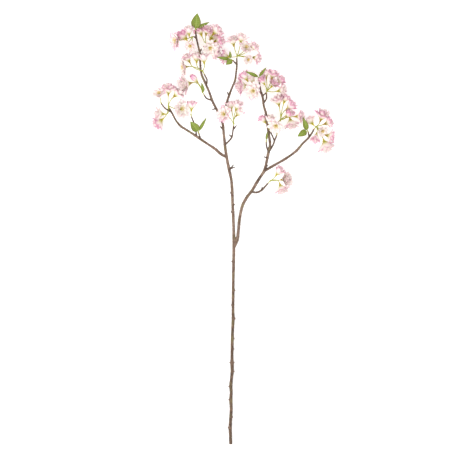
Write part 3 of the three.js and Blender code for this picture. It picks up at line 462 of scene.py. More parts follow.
def make_piece(name, heap, finishes, replaced):
    """Turns a heap into an object that rides on the sprig and stands for its plain solids."""
    mesh = bpy.data.meshes.new(name)
    points = np.concatenate(heap.points)
    points[:, 2] = np.maximum(points[:, 2], FLOOR_GAP)
    mesh.from_pydata((points * MM).tolist(), [], heap.faces)
    grown = mesh.attributes.new("grown", "FLOAT_VECTOR", "POINT")
    grown.data.foreach_set("vector", np.concatenate(heap.grown).astype(np.float32).ravel())
    for finish in finishes:
        mesh.materials.append(finish)
    mesh.polygons.foreach_set("material_index", heap.finishes)
    mesh.polygons.foreach_set("use_smooth", [True] * len(heap.faces))
    piece = bpy.data.objects.new(name, mesh)
    bpy.context.scene.collection.objects.link(piece)
    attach(piece, "root")
    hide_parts(*replaced)
    return piece


# %% Tubes for everything that is round and long
def ring(centre, axis, side, radius, sides):
    """Points on a circle round a centre, square to the axis."""
    across = axis.cross(side).normalized()
    turns = [2 * math.pi * i / sides for i in range(sides)]
    return [centre + side * (radius * math.cos(t)) + across * (radius * math.sin(t)) for t in turns]


def turned_rings(centre, axis, side, profile, sides):
    """Rings along a straight axis, from pairs of a distance along it and a radius."""
    return [ring(centre + axis * distance, axis, side, radius, sides) for distance, radius in profile]


def tube_rings(route, radii, sides, side):
    """Rings along a route of points."""
    rings = []
    for k, centre in enumerate(route):
        along = (route[min(k + 1, len(route) - 1)] - route[max(k - 1, 0)]).normalized()
        rings.append(ring(centre, along, square_to(along, side), radii[k], sides))
    return rings


def add_rings(heap, rings, tone=0.5, finish=0):
    """A closed skin over rings of equally many points."""
    sides = len(rings[0])
    points = [point for points in rings for point in points]
    grown = [(i / sides, k / (len(rings) - 1), tone) for k in range(len(rings)) for i in range(sides)]
    faces = []
    for k in range(len(rings) - 1):
        for i in range(sides):
            j = (i + 1) % sides
            faces.append((k * sides + i, k * sides + j, (k + 1) * sides + j, (k + 1) * sides + i))
    faces.append(tuple(range(sides))[::-1])
    faces.append(tuple((len(rings) - 1) * sides + i for i in range(sides)))
    heap.add(points, faces, grown, finish)


# %% [markdown]
# ## Bark
#
# Cherry bark is a thin, tight, reddish-brown skin. It doesn't crack into plates when it is young;
# instead it is dotted with lenticels, the pores that it breathes through, which stretch sideways into
# pale dashes as the stem thickens. The middle of the stem is paler and pinker than its twigs and its
# butt, which is the oldest wood.
#
# Tubes that only cross at a fork show a hard seam. Here all limbs are laid out as overlapping tubes
# and then remeshed into one skin, which rounds each fork the way wood grows over it. Afterwards each
# point looks up the nearest place on the limbs to learn how far along and around the limb it lies.

# %% Limbs as smooth routes
LIMB_STEP = 2.5  # millimetres between rings
LIMB_SIDES = 12
SKIN_VOXEL = 0.75  # millimetres
SKIN_ALLOWANCE = 0.65  # what softening the skin takes off its radius again


def smooth_route(points, radii):
    """A route through points, smoothed, as places about a step apart and their radii."""
    places, widths = [], []
    for k in range(len(points) - 1):
        p0, p1, p2, p3 = (points[min(max(k + d, 0), len(points) - 1)] for d in (-1, 0, 1, 2))
        pieces = max(2, round((p2 - p1).length / LIMB_STEP))
        for i in range(pieces + (k == len(points) - 2)):
            t = i / pieces
            places.append(0.5 * (2 * p1 + (p2 - p0) * t + (2 * p0 - 5 * p1 + 4 * p2 - p3) * t * t
                                 + (3 * p1 - p0 - 3 * p2 + p3) * t ** 3))
            ease = t * t * (3 - 2 * t)
            widths.append(radii[k] * (1 - ease) + radii[k + 1] * ease)
    return places, widths


limb_routes = []
for limb in LIMBS:
    limb_places = [place(*point[:3]) for point in limb]
    limb_routes.append(smooth_route(limb_places, [point[3] for point in limb]))
limb_routes += [smooth_route([place(*base), place(*tip)], STUB_RADII) for base, tip in STUBS]
print("rings of wood:", sum(len(route) for route, _ in limb_routes))

# %% Knots and two bare spurs
# Where buds once sat, the bark stands up in small knots. Each is a place down the stem and the side
# that it is on, 1 for the right and -1 for the left.
KNOTS = [
    (319.6, 1), (339, 1), (350, 1), (363.2, 1), (363.8, -1), (372.4, 1), (387, -1), (400.4, -1),
    (418.2, 1), (429.2, -1), (306, -1), (291, 1), (262, -1), (212, -1), (205, 1), (193, -1),
]
KNOT_REACH = 2.7  # millimetres that a knot stands out of the bark
KNOT_RADII = [2.38, 1.7, 1.02]  # where it leaves the stem, further out and at its tip
SPURS = [((230.4, 168.8, 39.6), (235, 167, 41.2)), ((262.2, 96.6, 44.4), (266, 92.6, 45.6))]
SPUR_RADII = [1.5, 0.9]
stem_places, stem_radii = limb_routes[0]
for down, side in KNOTS:
    level = place(0, down, 0).y
    nearest = min(range(len(stem_places)), key=lambda k: abs(stem_places[k].y - level))
    middle = stem_places[nearest]
    out = Vector((side, 0.25, 0.1)) * (stem_radii[nearest] + KNOT_REACH)
    limb_routes.append(([middle, middle + out * 0.7, middle + out], KNOT_RADII))
limb_routes += [smooth_route([place(*base), place(*tip)], SPUR_RADII) for base, tip in SPURS]
print("knots:", len(KNOTS), "spurs:", len(SPURS))

# %% One skin over all limbs
wood_heap = Heap()
for route, radii in limb_routes:
    add_rings(wood_heap, tube_rings(route, [radius + SKIN_ALLOWANCE for radius in radii], LIMB_SIDES, UP))
rough_mesh = bpy.data.meshes.new("limbs")
rough_mesh.from_pydata((np.concatenate(wood_heap.points) * MM).tolist(), [], wood_heap.faces)
limbs_object = bpy.data.objects.new("limbs", rough_mesh)
bpy.context.scene.collection.objects.link(limbs_object)
remesh = limbs_object.modifiers.new("skin", "REMESH")
remesh.mode = "VOXEL"
remesh.voxel_size = SKIN_VOXEL * MM
smooth = limbs_object.modifiers.new("soften", "SMOOTH")
smooth.factor = 0.5
smooth.iterations = 3
skin_mesh = bpy.data.meshes.new_from_object(limbs_object.evaluated_get(bpy.context.evaluated_depsgraph_get()))
bpy.data.objects.remove(limbs_object)
print("points of the bark's skin:", len(skin_mesh.vertices))

# %% Where each point of the skin lies on its limb
BARK_WRINKLE = 0.24  # millimetres that the bark stands up and down
WRINKLES = 7  # waves that add up to the wrinkling
OLD_RADIUS, YOUNG_RADIUS = 3.4, 1.2
BUTT_BARK = (245, 320)  # the darkest bark starts and is full at these places down the plan


def share_between(value, low, high):
    """How far a value has gone from one number to another, kept between 0 and 1."""
    return min(max((value - low) / (high - low), 0), 1)


samples = []
for route, radii in limb_routes:
    travelled = 0
    for k, centre in enumerate(route):
        before, after = route[max(k - 1, 0)], route[min(k + 1, len(route) - 1)]
        travelled += (centre - before).length
        samples.append((centre, (after - before).normalized(), radii[k], travelled))
tree = KDTree(len(samples))
for index, sample in enumerate(samples):
    tree.insert(sample[0], index)
tree.balance()

limb_place = np.empty((len(skin_mesh.vertices), 3), np.float32)
age = np.empty(len(skin_mesh.vertices), np.float32)
butt_levels = [place(0, down, 0).y for down in BUTT_BARK]
wrinkle = random.Random(11)
waves = [
    (wrinkle.uniform(0.5, 1.6), wrinkle.uniform(-2, 2), wrinkle.uniform(0, 6.28))
    for _ in range(WRINKLES)
]
for vertex in skin_mesh.vertices:
    spot = vertex.co / MM
    centre, along, radius, travelled = samples[tree.find(spot)[1]]
    offset = spot - centre
    reach = travelled + offset.dot(along)
    outward = offset - along * offset.dot(along)
    side = square_to(along, UP)
    x, y = outward.dot(side), outward.dot(along.cross(side))
    turn = math.atan2(y, x)
    limb_place[vertex.index] = (x, y, reach)
    age[vertex.index] = share_between(radius, YOUNG_RADIUS, OLD_RADIUS) + share_between(spot.y, *butt_levels)
    lift = sum(math.sin(pitch * reach + round(twist) * turn + start) for pitch, twist, start in waves) / 3
    if outward.length > 0.3:
        spot = spot + outward.normalized() * (BARK_WRINKLE * lift * min(radius / 3, 1))
    vertex.co = Vector((spot.x, spot.y, max(spot.z, FLOOR_GAP))) * MM
limb_attribute = skin_mesh.attributes.new("limb_place", "FLOAT_VECTOR", "POINT")
limb_attribute.data.foreach_set("vector", limb_place.ravel())
skin_mesh.attributes.new("age", "FLOAT", "POINT").data.foreach_set("value", age)
print("limb length measured:", round(float(limb_place[:, 2].max())), "mm")

# %% The bark's finish
# Young cherry bark is a waxy cork skin. It has a low sheen, IOR about 1.45, and is rough to the touch.
LENTICEL = (2.4, 2.4, 0.7)  # millimetres across the stem, twice, and along it
STREAK = (1.6, 1.6, 24)  # the same for one dark streak
MOTTLE = 11  # millimetres from one patch of colour to the next
OLIVE = 34  # millimetres between the stretches where green shows through the cork

bark = new_finish("cherry bark, tight and waxy", IOR=1.45, Roughness=0.72)
on_limb = read(bark, "limb_place")
limb_age = read(bark, "age", "Fac")
on_lenticels = stretch(bark, on_limb, [1 / size for size in LENTICEL])
on_streaks = stretch(bark, on_limb, [1 / size for size in STREAK])
mottled = ramp(bark, noise(bark, 1 / MOTTLE, 5.0, on_limb, 0.62), 0.38, 0.64)
young_cork = blend(bark, mottled, "#46342c", "#6e5648")
old_cork = blend(bark, mottled, "#6b5044", "#9a8270")
butt_cork = blend(bark, mottled, "#443127", "#785f4c")
cork = blend(bark, limb_age, young_cork, old_cork)
cork = blend(bark, ramp(bark, limb_age, 1.0, 2.0), cork, butt_cork)
cork = blend(bark, ramp(bark, noise(bark, 1 / OLIVE, 2.0, on_limb), 0.5, 0.66, end=0.6), cork, "#888052")
cork = blend(bark, ramp(bark, noise(bark, 0.8, 3.0, on_streaks), 0.52, 0.66, end=0.55), cork, "#3c2e26")
cork = blend(bark, ramp(bark, noise(bark, 0.55, 1.5, on_lenticels, 0.4), 0.6, 0.68), cork, "#a08a74")
paint(bark, cork, noise(bark, 1.2, 3.0, on_lenticels), 0.5, 0.0004)

# The butt is a fresh slanting cut: damp pale wood with a darker rim of bark round it.
RING_WAVE = 7.0  # turns of the wave that draws the year rings, in radians to a millimetre

cut_wood = new_finish("freshly cut cherry wood", IOR=1.5, Roughness=0.6)
across_grain = stretch(cut_wood, read(cut_wood, "limb_place"), (1, 1, 0))
from_pith = add_node(cut_wood, "ShaderNodeVectorMath", {"operation": "LENGTH"}, {0: across_grain})
year_rings = maths(cut_wood, "SINE", maths(cut_wood, "MULTIPLY", from_pith.outputs["Value"], RING_WAVE))
paint(cut_wood, blend(cut_wood, ramp(cut_wood, year_rings, -1.0, 1.0), "#d9c09c", "#c3a37e"))
print("bark nodes:", len(bark.node_tree.nodes))

# %% The branch
CUT_DEPTH = 0.6  # millimetres from the butt's end within which a face is part of the cut

skin_mesh.materials.append(bark)
skin_mesh.materials.append(cut_wood)
for face in skin_mesh.polygons:
    face.use_smooth = True
    face.material_index = int(face.normal.y < -0.8 and face.center.y < cad_box[0][1] + CUT_DEPTH * MM)
branch_bark = bpy.data.objects.new("branch_bark", skin_mesh)
bpy.context.scene.collection.objects.link(branch_bark)
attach(branch_bark, "root")
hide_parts("branch")
print("faces of the branch:", len(skin_mesh.polygons))

# %% [markdown]
# ## Stalks and calyxes
#
# Each pedicel is a thin, slightly hairy green stalk that bends under its flower. It widens into the
# calyx, a small bell with five pointed sepals that spread as the flower opens. The pedicel is a tube
# along a Bezier curve, the bell is a few rings at its end, and each sepal is a small keeled blade.
# Brown bud scales stay wrapped round the foot of each peduncle.

# %% Where a flower's calyx and petals begin
PETAL_SOLID = 0.7  # thickness of the plain solid's petals
CLOSED_SINK = 1.5  # how much deeper a closed flower's petals sit in the calyx
SEAT = 0.36
CALYX_LENGTH = 6
CLOSED = ("cup", "bud")

# How each kind of flower is open. The spread is its radius and the middle the height of its middle,
# both as shares of its outer petals' length. Layers of petals are number, angle off the axis at the
# claw and at the tip, then share of the length and of the width. The cup is the radius to which a
# petal is hollowed, as a share of its length, and the tone how much pigment it has.
OPENINGS = {
    "wide": {"spread": 0.86, "middle": 0.17, "layers": [
        (5, 58, 86, 1.06, 0.6), (5, 54, 80, 1.04, 0.56), (6, 46, 72, 0.86, 0.48), (6, 36, 64, 0.6, 0.38),
    ], "cup": 0.7, "stamens": 24, "tone": 0.4},
    "open": {"spread": 0.67, "middle": 0.38, "layers": [
        (5, 48, 70, 1.06, 0.6), (5, 40, 62, 1.08, 0.56), (6, 28, 46, 1.06, 0.5), (6, 12, 30, 1.0, 0.44),
        (4, 2, 14, 0.92, 0.38),
    ], "cup": 0.55, "stamens": 12, "tone": 0.5},
    "cup": {"spread": 0.5, "middle": 0.42, "layers": [
        (5, 50, 24, 1.04, 0.66), (5, 40, 16, 1.04, 0.56), (5, 26, 2, 1.0, 0.44),
    ], "cup": 0.42, "stamens": 0, "tone": 0.5},
    "bud": {"spread": 0.42, "middle": 0.45, "layers": [
        (5, 50, -36, 1.06, 0.64), (4, 40, -30, 1.02, 0.5),
    ], "cup": 0.28, "stamens": 0, "tone": 0.65},
}


def midline(start, end, length, s):
    """A petal's midline at distance s from its claw: distance from the axis, height and angle."""
    a, b = math.radians(start), math.radians(end)
    bend = (b - a) / length
    angle = a + bend * s
    return (math.cos(a) - np.cos(angle)) / bend, (np.sin(angle) - math.sin(a)) / bend, angle


def stance(flower):
    """A flower's axis, the base of its petals, the foot of its calyx and its petals' length."""
    u, v, height, turn, lift, radius, kind = flower
    opening = OPENINGS[kind]
    claw_angle = opening["layers"][0][1]
    reach = radius / opening["spread"]
    axis = facing(turn, lift)
    base = place(u, v, REST_HEIGHT + FLATTEN * (height - REST_HEIGHT)) - axis * (opening["middle"] * reach)
    keel = PETAL_SOLID / math.sin(math.radians(claw_angle))
    seat = -CLOSED_SINK if kind in CLOSED else SEAT
    return axis, base, base - axis * (CALYX_LENGTH + seat + keel), reach


print("first flower's petals are", round(stance(FLOWERS[0])[3], 1), "mm long")

# %% Pedicels
STALK_RADIUS = 1.05
STALK_SIDES = 8
STALK_STEPS = 14
STALK_BEND = 0.45  # how far behind the flower its stalk turns, as a share of the stalk's length
ROOT_OFFSET = 1.2  # how far from the fork's middle a stalk starts
ANY_SIDE = Vector((0.3, 0.2, 1))  # where nothing else gives a side


def add_pedicel(heap, fork, flower, tone):
    """The stalk from the fork to the foot of the calyx, thicker at both ends."""
    axis, _, foot, _ = stance(flower)
    root = place(*fork)
    bend = foot - axis * (STALK_BEND * (foot - root).length)
    start = root + (bend - root).normalized() * ROOT_OFFSET
    steps = [k / STALK_STEPS for k in range(STALK_STEPS + 1)]
    route = [start * (1 - t) ** 2 + bend * (2 * t * (1 - t)) + foot * t * t for t in steps]
    radii = [STALK_RADIUS * (1 + 0.35 * (2 * t - 1) ** 6) for t in steps]
    add_rings(heap, tube_rings(route, radii, STALK_SIDES, square_to(axis, ANY_SIDE)), tone)


print("one pedicel has", STALK_STEPS + 1, "rings")

# %% Calyxes
CALYX_SIDES = 15
CALYX_PROFILE = [  # share of the calyx's depth, then radius in millimetres
    (0, STALK_RADIUS), (0.12, 1.5), (0.3, 2.15), (0.5, 2.5), (0.72, 2.6), (0.9, 2.2), (1.0, 1.3), (1.06, 0.5),
]
SEPALS = 5
SEPAL_LENGTH = 5.6
SEPAL_SKIN = 0.35
SEPAL_WIDTH = 1.35  # half of it, where the sepal is attached
SEPAL_OUT = 1.9  # from the calyx's axis to where the sepals are attached
SEPAL_STEPS = 6
SEPAL_ACROSS = (-1, -0.5, 0, 0.5, 1)
SEPAL_LEAN = {"wide": 62, "open": 62, "cup": 26, "bud": 26}  # degrees off the flower's axis
CLOSED_SEPAL = 0.9  # a closed flower's sepals as a share of an open one's


def add_calyx(heap, flower, tone):
    """A small bell that holds the claws, and five pointed sepals pressed to the petals' backs."""
    axis, base, foot, _ = stance(flower)
    crosswise = axis.cross(foot - place(*flower[:3]))
    side = square_to(axis, crosswise if crosswise.length > 1 else ANY_SIDE)
    across = axis.cross(side)
    depth = (base - foot).length
    profile = [(depth * share, radius) for share, radius in CALYX_PROFILE]
    add_rings(heap, turned_rings(foot, axis, side, profile, CALYX_SIDES), tone, 1)
    length = SEPAL_LENGTH * (CLOSED_SEPAL if flower[6] in CLOSED else 1)
    spread = math.radians(SEPAL_LEAN[flower[6]])
    for i in range(SEPALS):
        turn = 2 * math.pi * (i + 0.5) / SEPALS
        out = side * math.cos(turn) + across * math.sin(turn)
        beside = axis.cross(out)
        rows, grown = [], []
        for t in [k / SEPAL_STEPS for k in range(SEPAL_STEPS + 1)]:
            half = SEPAL_WIDTH * (1 - t ** 1.7) * (0.8 + 0.5 * math.sin(math.pi * t)) + 0.06
            lean = spread + (0.25 - 0.7 * tone) * t
            spot = foot + axis * (depth * 0.7 + length * t * math.cos(lean))
            spot = spot + out * (SEPAL_OUT + length * t * math.sin(lean))
            rows.append([spot + beside * (half * c) + (axis - out) * (0.3 * abs(c)) for c in SEPAL_ACROSS])
            grown += [(c, t, tone) for c in SEPAL_ACROSS]
        add_vector_blade(heap, rows, grown, SEPAL_SKIN, 1)


print("sepals:", SEPALS * len(FLOWERS))

# %% Peduncles and bud scales
PEDUNCLE_SIDES = 12
FOOT_RADIUS, WAIST_RADIUS, KNOB_RADIUS = 1.5, 1.15, 2.3
SCALES = 7
SCALE_TURN = 2.4  # radians from one scale to the next, the golden angle
SCALE_SKIN = 0.3


def add_peduncle(heap, cluster, tone):
    """The short stalk between the wood and the fork, with a knob where the pedicels start."""
    start, end = place(*cluster["spur"]), place(*cluster["fork"])
    along = (end - start).normalized()
    length = (end - start).length
    profile = [
        (-0.5, FOOT_RADIUS), (0.35 * length, WAIST_RADIUS), (0.7 * length, WAIST_RADIUS),
        (length - 2.0, KNOB_RADIUS * 0.86), (length - 0.6, KNOB_RADIUS),
        (length + 1.0, KNOB_RADIUS * 0.82), (length + 1.9, KNOB_RADIUS * 0.35),
    ]
    add_rings(heap, turned_rings(start, along, square_to(along, UP), sorted(profile), PEDUNCLE_SIDES), tone)


def add_bud_scales(heap, cluster, dice):
    """Dry scales that once wrapped the bud, now standing round the foot of its peduncle."""
    start, end = place(*cluster["spur"]), place(*cluster["fork"])
    along = (end - start).normalized()
    side = square_to(along, UP)
    across = along.cross(side)
    for i in range(SCALES):
        turn = SCALE_TURN * i + dice.uniform(-0.3, 0.3)
        out = side * math.cos(turn) + across * math.sin(turn)
        beside = along.cross(out)
        size = dice.uniform(2.6, 4.2)
        rows, grown = [], []
        for t in (0, 0.25, 0.5, 0.75, 1):
            half = size * 0.34 * math.sin(math.pi * (0.16 + 0.8 * t))
            middle = start + along * (size * t - 1.2)
            rows.append([middle + out * (1.35 + 0.35 * t + 0.25 * (1 - abs(c))) + beside * (half * c)
                         for c in (-1, 0, 1)])
            grown += [(c, t, dice.random()) for c in (-1, 0, 1)]
        add_vector_blade(heap, rows, grown, SCALE_SKIN, 2)


print("bud scales:", SCALES * len(UMBELS))

# %% Finishes of stalks, calyxes and scales
# A pedicel is soft living tissue under a waxy skin: IOR about 1.4, satin, a little light inside it.
stalk_green = new_finish("fresh green stalk", IOR=1.4, Roughness=0.5, Subsurface_Weight=0.15,
                         Subsurface_Scale=0.001, Subsurface_Radius=(0.6, 1.0, 0.3))
tinged = maths(stalk_green, "MULTIPLY_ADD", noise(stalk_green, 140.0, 2.0), 0.7, -0.1)
paint(stalk_green, blend(stalk_green, tinged, "#aeb742", "#9f993a"))


def grown_axes(material):
    """How far across and along its petal or leaf a point grew, and its tone."""
    return add_node(material, "ShaderNodeSeparateXYZ", {}, {0: read(material, "grown")}).outputs


# The calyx is the same tissue, tinged olive and brown where the sun reached it.
calyx_olive = new_finish("calyx, olive with a brown tinge", IOR=1.4, Roughness=0.5)
sunned = maths(calyx_olive, "MULTIPLY", noise(calyx_olive, 220.0, 3.0), grown_axes(calyx_olive)["Z"])
paint(calyx_olive, blend(calyx_olive, ramp(calyx_olive, sunned, 0.1, 0.5), "#cbbf3c", "#a98833"))

# Bud scales are dead and dry, like thin brown paper.
dry_scale = new_finish("dry brown bud scale", IOR=1.45, Roughness=0.7)
paint(dry_scale, blend(dry_scale, grown_axes(dry_scale)["Y"], "#6b4a36", "#a98a5c"))
GREEN_FINISHES = [stalk_green, calyx_olive, dry_scale]
print("green finishes:", [finish.name for finish in GREEN_FINISHES])

# %% Stalks of every umbel
for name, cluster in UMBELS.items():
    dice = random.Random(name)
    heap = Heap()
    add_peduncle(heap, cluster, dice.random())
    add_bud_scales(heap, cluster, dice)
    for flower in cluster["blooms"]:
        tone = dice.random()
        add_pedicel(heap, cluster["fork"], flower, tone)
        add_calyx(heap, flower, tone)
    make_piece(f"stalks_{name}", heap, GREEN_FINISHES, [f"spray_{name}"])
print("stalks made for", len(UMBELS), "umbels")

# %% [markdown]
# ## Petals
#
# These are double flowers: the stamens of a wild cherry's single flower have turned into extra petals,
# so each open bloom is four or five rings of them. A petal starts as a narrow claw, widens to over
# half its own length, and ends in the small notch that tells a cherry from a plum. It is cupped along
# its middle, its margin is frilled, and it is a quarter of a millimetre thick.
#
# One function bends a flat sheet of points along an arc away from the flower's axis, then cups and
# frills it. Rings of that petal at different angles make every stage from bud to wide flower.

# %% One petal
PETAL_SKIN = 0.25  # millimetres
PETAL_ROWS, PETAL_COLUMNS = 9, 9
CLAW = 0.16  # width of the claw as a share of the petal's
WIDEST = 0.66  # where the petal is widest
NOTCH_WIDTH = 0.28  # as a share of half the petal's width


def repeatable(seed):
    """The same stream of numbers between 0 and 1 that the plain solids were varied with."""
    state = seed
    while True:
        state = state * 48271 % 2147483647
        yield state / 2147483647


def sheet_places(rows, columns):
    """Across from -1 to 1 and along from 0 to 1, for each point of a sheet."""
    across = np.linspace(-1, 1, columns)[None, :] * np.ones((rows, 1))
    return across, np.linspace(0, 1, rows)[:, None] * np.ones((1, columns))


def petal_sheet(start, end, length, width, cup, frill, notch, lean, dice):
    """A petal that grows towards +X about the Z axis, as rows from claw to tip."""
    u, v = sheet_places(PETAL_ROWS, PETAL_COLUMNS)
    tip = 1 - 0.22 * np.abs(u) ** 2.8 - notch * np.exp(-((u - dice.uniform(-0.1, 0.1)) / NOTCH_WIDTH) ** 2)
    s = v * tip * length
    rise = np.clip(v / WIDEST, 0, 1)
    fall = np.clip((v - WIDEST) / (1 - WIDEST), 0, 1)
    half = width / 2 * (CLAW + (1 - CLAW) * np.sin(rise * math.pi / 2) ** 1.1) * np.sqrt(1 - 0.62 * fall ** 2)
    out, up, angle = midline(start, end, length, s)
    across = u * half
    curve = cup * (1 + 0.25 * dice.uniform(-1, 1))
    sideways = curve * np.sin(across / curve)
    inward = curve * (1 - np.cos(across / curve))
    ripple = np.sin(u * dice.uniform(3, 5) + dice.uniform(0, 6.28))
    ripple = ripple + 0.4 * np.sin(u * dice.uniform(6, 9) + v * 5)
    inward = inward + frill * v ** 2.2 * ripple * (0.35 + 0.65 * np.abs(u))
    x = out - np.cos(angle) * inward
    z = up + np.sin(angle) * inward + lean * (s / length) ** 2 * length
    return np.stack([x, sideways, z], axis=2), u, v


print("points on one petal:", 2 * PETAL_ROWS * PETAL_COLUMNS)

# %% A flower's petals
FRILL = {"wide": 0.6, "open": 0.65, "cup": 0.4, "bud": 0.12}  # millimetres on a petal 20 mm long
NOTCH = 0.08
LAYER_RISE = 0.35  # millimetres between one layer's claws and the next
CLAW_SINK = 1.0  # how far the claws are sunk into the calyx
PETAL_SPREAD = 1.07  # frills and notches take a little off a petal's reach again
PALER = 0.14  # how much less pigment each further layer has
FLOWER_TONE, PETAL_TONE = 0.28, 0.25  # how far the pigment of flowers, and of petals, differs
TRIMS = 10  # times that a petal is shortened to keep within the sprig's size
TRIM = 0.95
ROOM = np.array(cad_box) / MM + [[0.4], [-0.4]]  # the sprig's box, less a little for frills


def add_petals(heap, flower):
    """All layers of petals of one flower."""
    axis, base, _, reach = stance(flower)
    reach *= PETAL_SPREAD
    kind = flower[6]
    opening = OPENINGS[kind]
    seed = math.floor(1e5 * flower[0] + 10 * flower[1] + 0.5)
    draws = repeatable(seed)
    dice = random.Random(seed)
    spin = 2 * math.pi * next(draws)
    rotation = np.array((UP.rotation_difference(axis) @ Quaternion(UP, spin)).to_matrix())
    flower_tone = min(max(opening["tone"] + dice.uniform(-FLOWER_TONE, FLOWER_TONE), 0), 1)
    cup = opening["cup"] * reach
    for layer, (count, start, end, length, width) in enumerate(opening["layers"]):
        for i in range(count):
            longer, lean = dice.uniform(0.93, 1.03), dice.uniform(-0.08, 0.08)
            if layer == 0:
                longer, lean = 0.94 + 0.12 * next(draws), (next(draws) - 0.5) * 0.2
            petal_length = reach * length * longer
            frill = FRILL[kind] * reach / 20 * (1 + 0.5 * layer)
            steeper = dice.uniform(-8, 8) if layer else 0
            petal_turn = math.pi * (2 * i + 1 + layer) / count + (dice.uniform(-0.12, 0.12) if layer else 0)
            c, s = math.cos(petal_turn), math.sin(petal_turn)
            notch = NOTCH * dice.uniform(0.5, 1.5)
            for _ in range(TRIMS):
                sheet, u, v = petal_sheet(start + steeper, end + steeper, petal_length, reach * width,
                                          cup * length, frill, notch, lean, dice)
                spun = sheet @ np.array([[c, s, 0], [-s, c, 0], [0, 0, 1]])
                spun[:, :, 2] += LAYER_RISE * layer - CLAW_SINK * (1 - v)
                grid = spun @ rotation.T + np.array(base)
                if (grid.min((0, 1)) > ROOM[0]).all() and (grid.max((0, 1)) < ROOM[1]).all():
                    break
                petal_length *= TRIM
            tone = flower_tone + dice.uniform(-PETAL_TONE, PETAL_TONE) - PALER * layer
            grown = np.stack([u, v, np.full_like(u, min(max(tone, 0), 1))], axis=2).reshape(-1, 3)
            add_blade(heap, grid, grown, PETAL_SKIN, 1, 0)


print("petals of a wide flower:", sum(layer[0] for layer in OPENINGS["wide"]["layers"]))

# %% Stamens
FILAMENT = 0.22  # radius in millimetres, about twice life so that it shows
FILAMENT_SIDES = 4
ANTHER = 0.95  # half its length
ANTHER_SIDES = 6
ANTHER_PROFILE = [(-1.0, 0.3), (-0.45, 0.9), (0.45, 0.9), (1.0, 0.3)]  # shares of its length and width
ANTHER_SLIM = 0.62
GOLDEN_TURN = 2.4  # radians from one stamen to the next


def add_stamens(heap, flower):
    """Pale filaments that fan out of the flower's middle, each with a golden anther."""
    axis, base, _, reach = stance(flower)
    dice = random.Random(int(flower[0] * 10))
    side = square_to(axis, ANY_SIDE)
    across = axis.cross(side)
    for i in range(OPENINGS[flower[6]]["stamens"]):
        turn = GOLDEN_TURN * i + dice.uniform(-0.3, 0.3)
        lean = math.radians(dice.uniform(6, 44))
        out = side * math.cos(turn) + across * math.sin(turn)
        length = reach * dice.uniform(0.36, 0.5)
        root = base + axis * 1.2 + out * 0.5
        knee = root + (axis * math.cos(lean * 0.6) + out * math.sin(lean * 0.6)) * (length / 2)
        end = knee + (axis * math.cos(lean) + out * math.sin(lean)) * (length / 2)
        add_rings(heap, tube_rings([root, knee, end], [FILAMENT] * 3, FILAMENT_SIDES, side), dice.random())
        tilt = Vector((dice.uniform(-1, 1), dice.uniform(-1, 1), dice.uniform(-1, 1))).normalized()
        profile = [(ANTHER * along, ANTHER * ANTHER_SLIM * wide) for along, wide in ANTHER_PROFILE]
        anther = turned_rings(end, tilt, square_to(tilt, axis), profile, ANTHER_SIDES)
        add_rings(heap, anther, dice.random(), 1)


# %% [markdown]
# ## Petal, stamen and leaf finishes
#
# A petal is a few layers of water-filled cells with air between them. It scatters nearly all light and
# has almost no gloss. Its pigment sits along the margin and on the back, so the same flower is
# yellow-green at its heart, cream-white on its blades and pink at its rims.

# %% Petal finishes
VEINS_ACROSS = 9.0  # veins from one margin to the other
RIM_FADE = 0.72  # how gently the rim's pink sets in


def petal_finish(name, heart, blade, rim, start, weight, heart_end):
    """Living petal skin that goes from one colour at the claw to another at the margin."""
    material = new_finish(name, IOR=1.36, Roughness=0.62, Sheen_Weight=0.1, Sheen_Roughness=0.5)
    axes = grown_axes(material)
    veins = stretch(material, read(material, "grown"), (VEINS_ACROSS / 2, 0.9, 7.0))
    streaks = noise(material, 1.0, 3.0, veins, 0.6)
    margin = maths(material, "MULTIPLY_ADD", maths(material, "ABSOLUTE", axes["X"]), 0.45, axes["Y"])
    pigment = maths(material, "MULTIPLY_ADD", axes["Z"], weight, margin)
    streaked = maths(material, "MULTIPLY_ADD", streaks, 0.5, pigment)
    rim_share = ramp(material, streaked, start, start + RIM_FADE, shape="SMOOTHSTEP")
    heart_share = ramp(material, axes["Y"], 0.06, heart_end, shape="SMOOTHSTEP")
    from_heart = blend(material, heart_share, heart, blade)
    paint(material, blend(material, rim_share, from_heart, rim), streaks, 0.25, 0.0003)
    return material


petal_face = petal_finish("cherry petal, inner face", "#e4dc5c", "#fef7ee", "#f3aed0", 1.25, 0.5, 0.64)
petal_back = petal_finish("cherry petal, back", "#c6c44a", "#fdf1ea", "#e894bd", 1.18, 0.55, 0.54)
print("petal nodes:", len(petal_face.node_tree.nodes))

# %% Stamen finishes
# Filaments are watery and nearly clear, anthers are dry and dusted with pollen.
filament = new_finish("stamen filament", IOR=1.36, Roughness=0.5)
paint(filament, blend(filament, grown_axes(filament)["Y"], "#dfe08a", "#f5e2b8"))
pollen = new_finish("pollen-dusted anther", IOR=1.45, Roughness=0.85)
paint(pollen, blend(pollen, noise(pollen, 2500.0, 1.0), "#e0b040", "#f3d468"))
print("stamen finishes:", filament.name, "and", pollen.name)

# %% Open flowers
for node in [name for name in nodes if name.startswith("bloom_")]:
    members = node.removeprefix("bloom_")
    petals, stamens = Heap(), Heap()
    for number in members.split("_"):
        flower = FLOWERS[int(number) - 1]
        add_petals(petals, flower)
        add_stamens(stamens, flower)
    make_piece(f"petals_{members}", petals, [petal_face, petal_back], [node])
    make_piece(f"stamens_{members}", stamens, [filament, pollen], [node])
print("open flowers:", sum(flower[6] not in CLOSED for flower in FLOWERS))

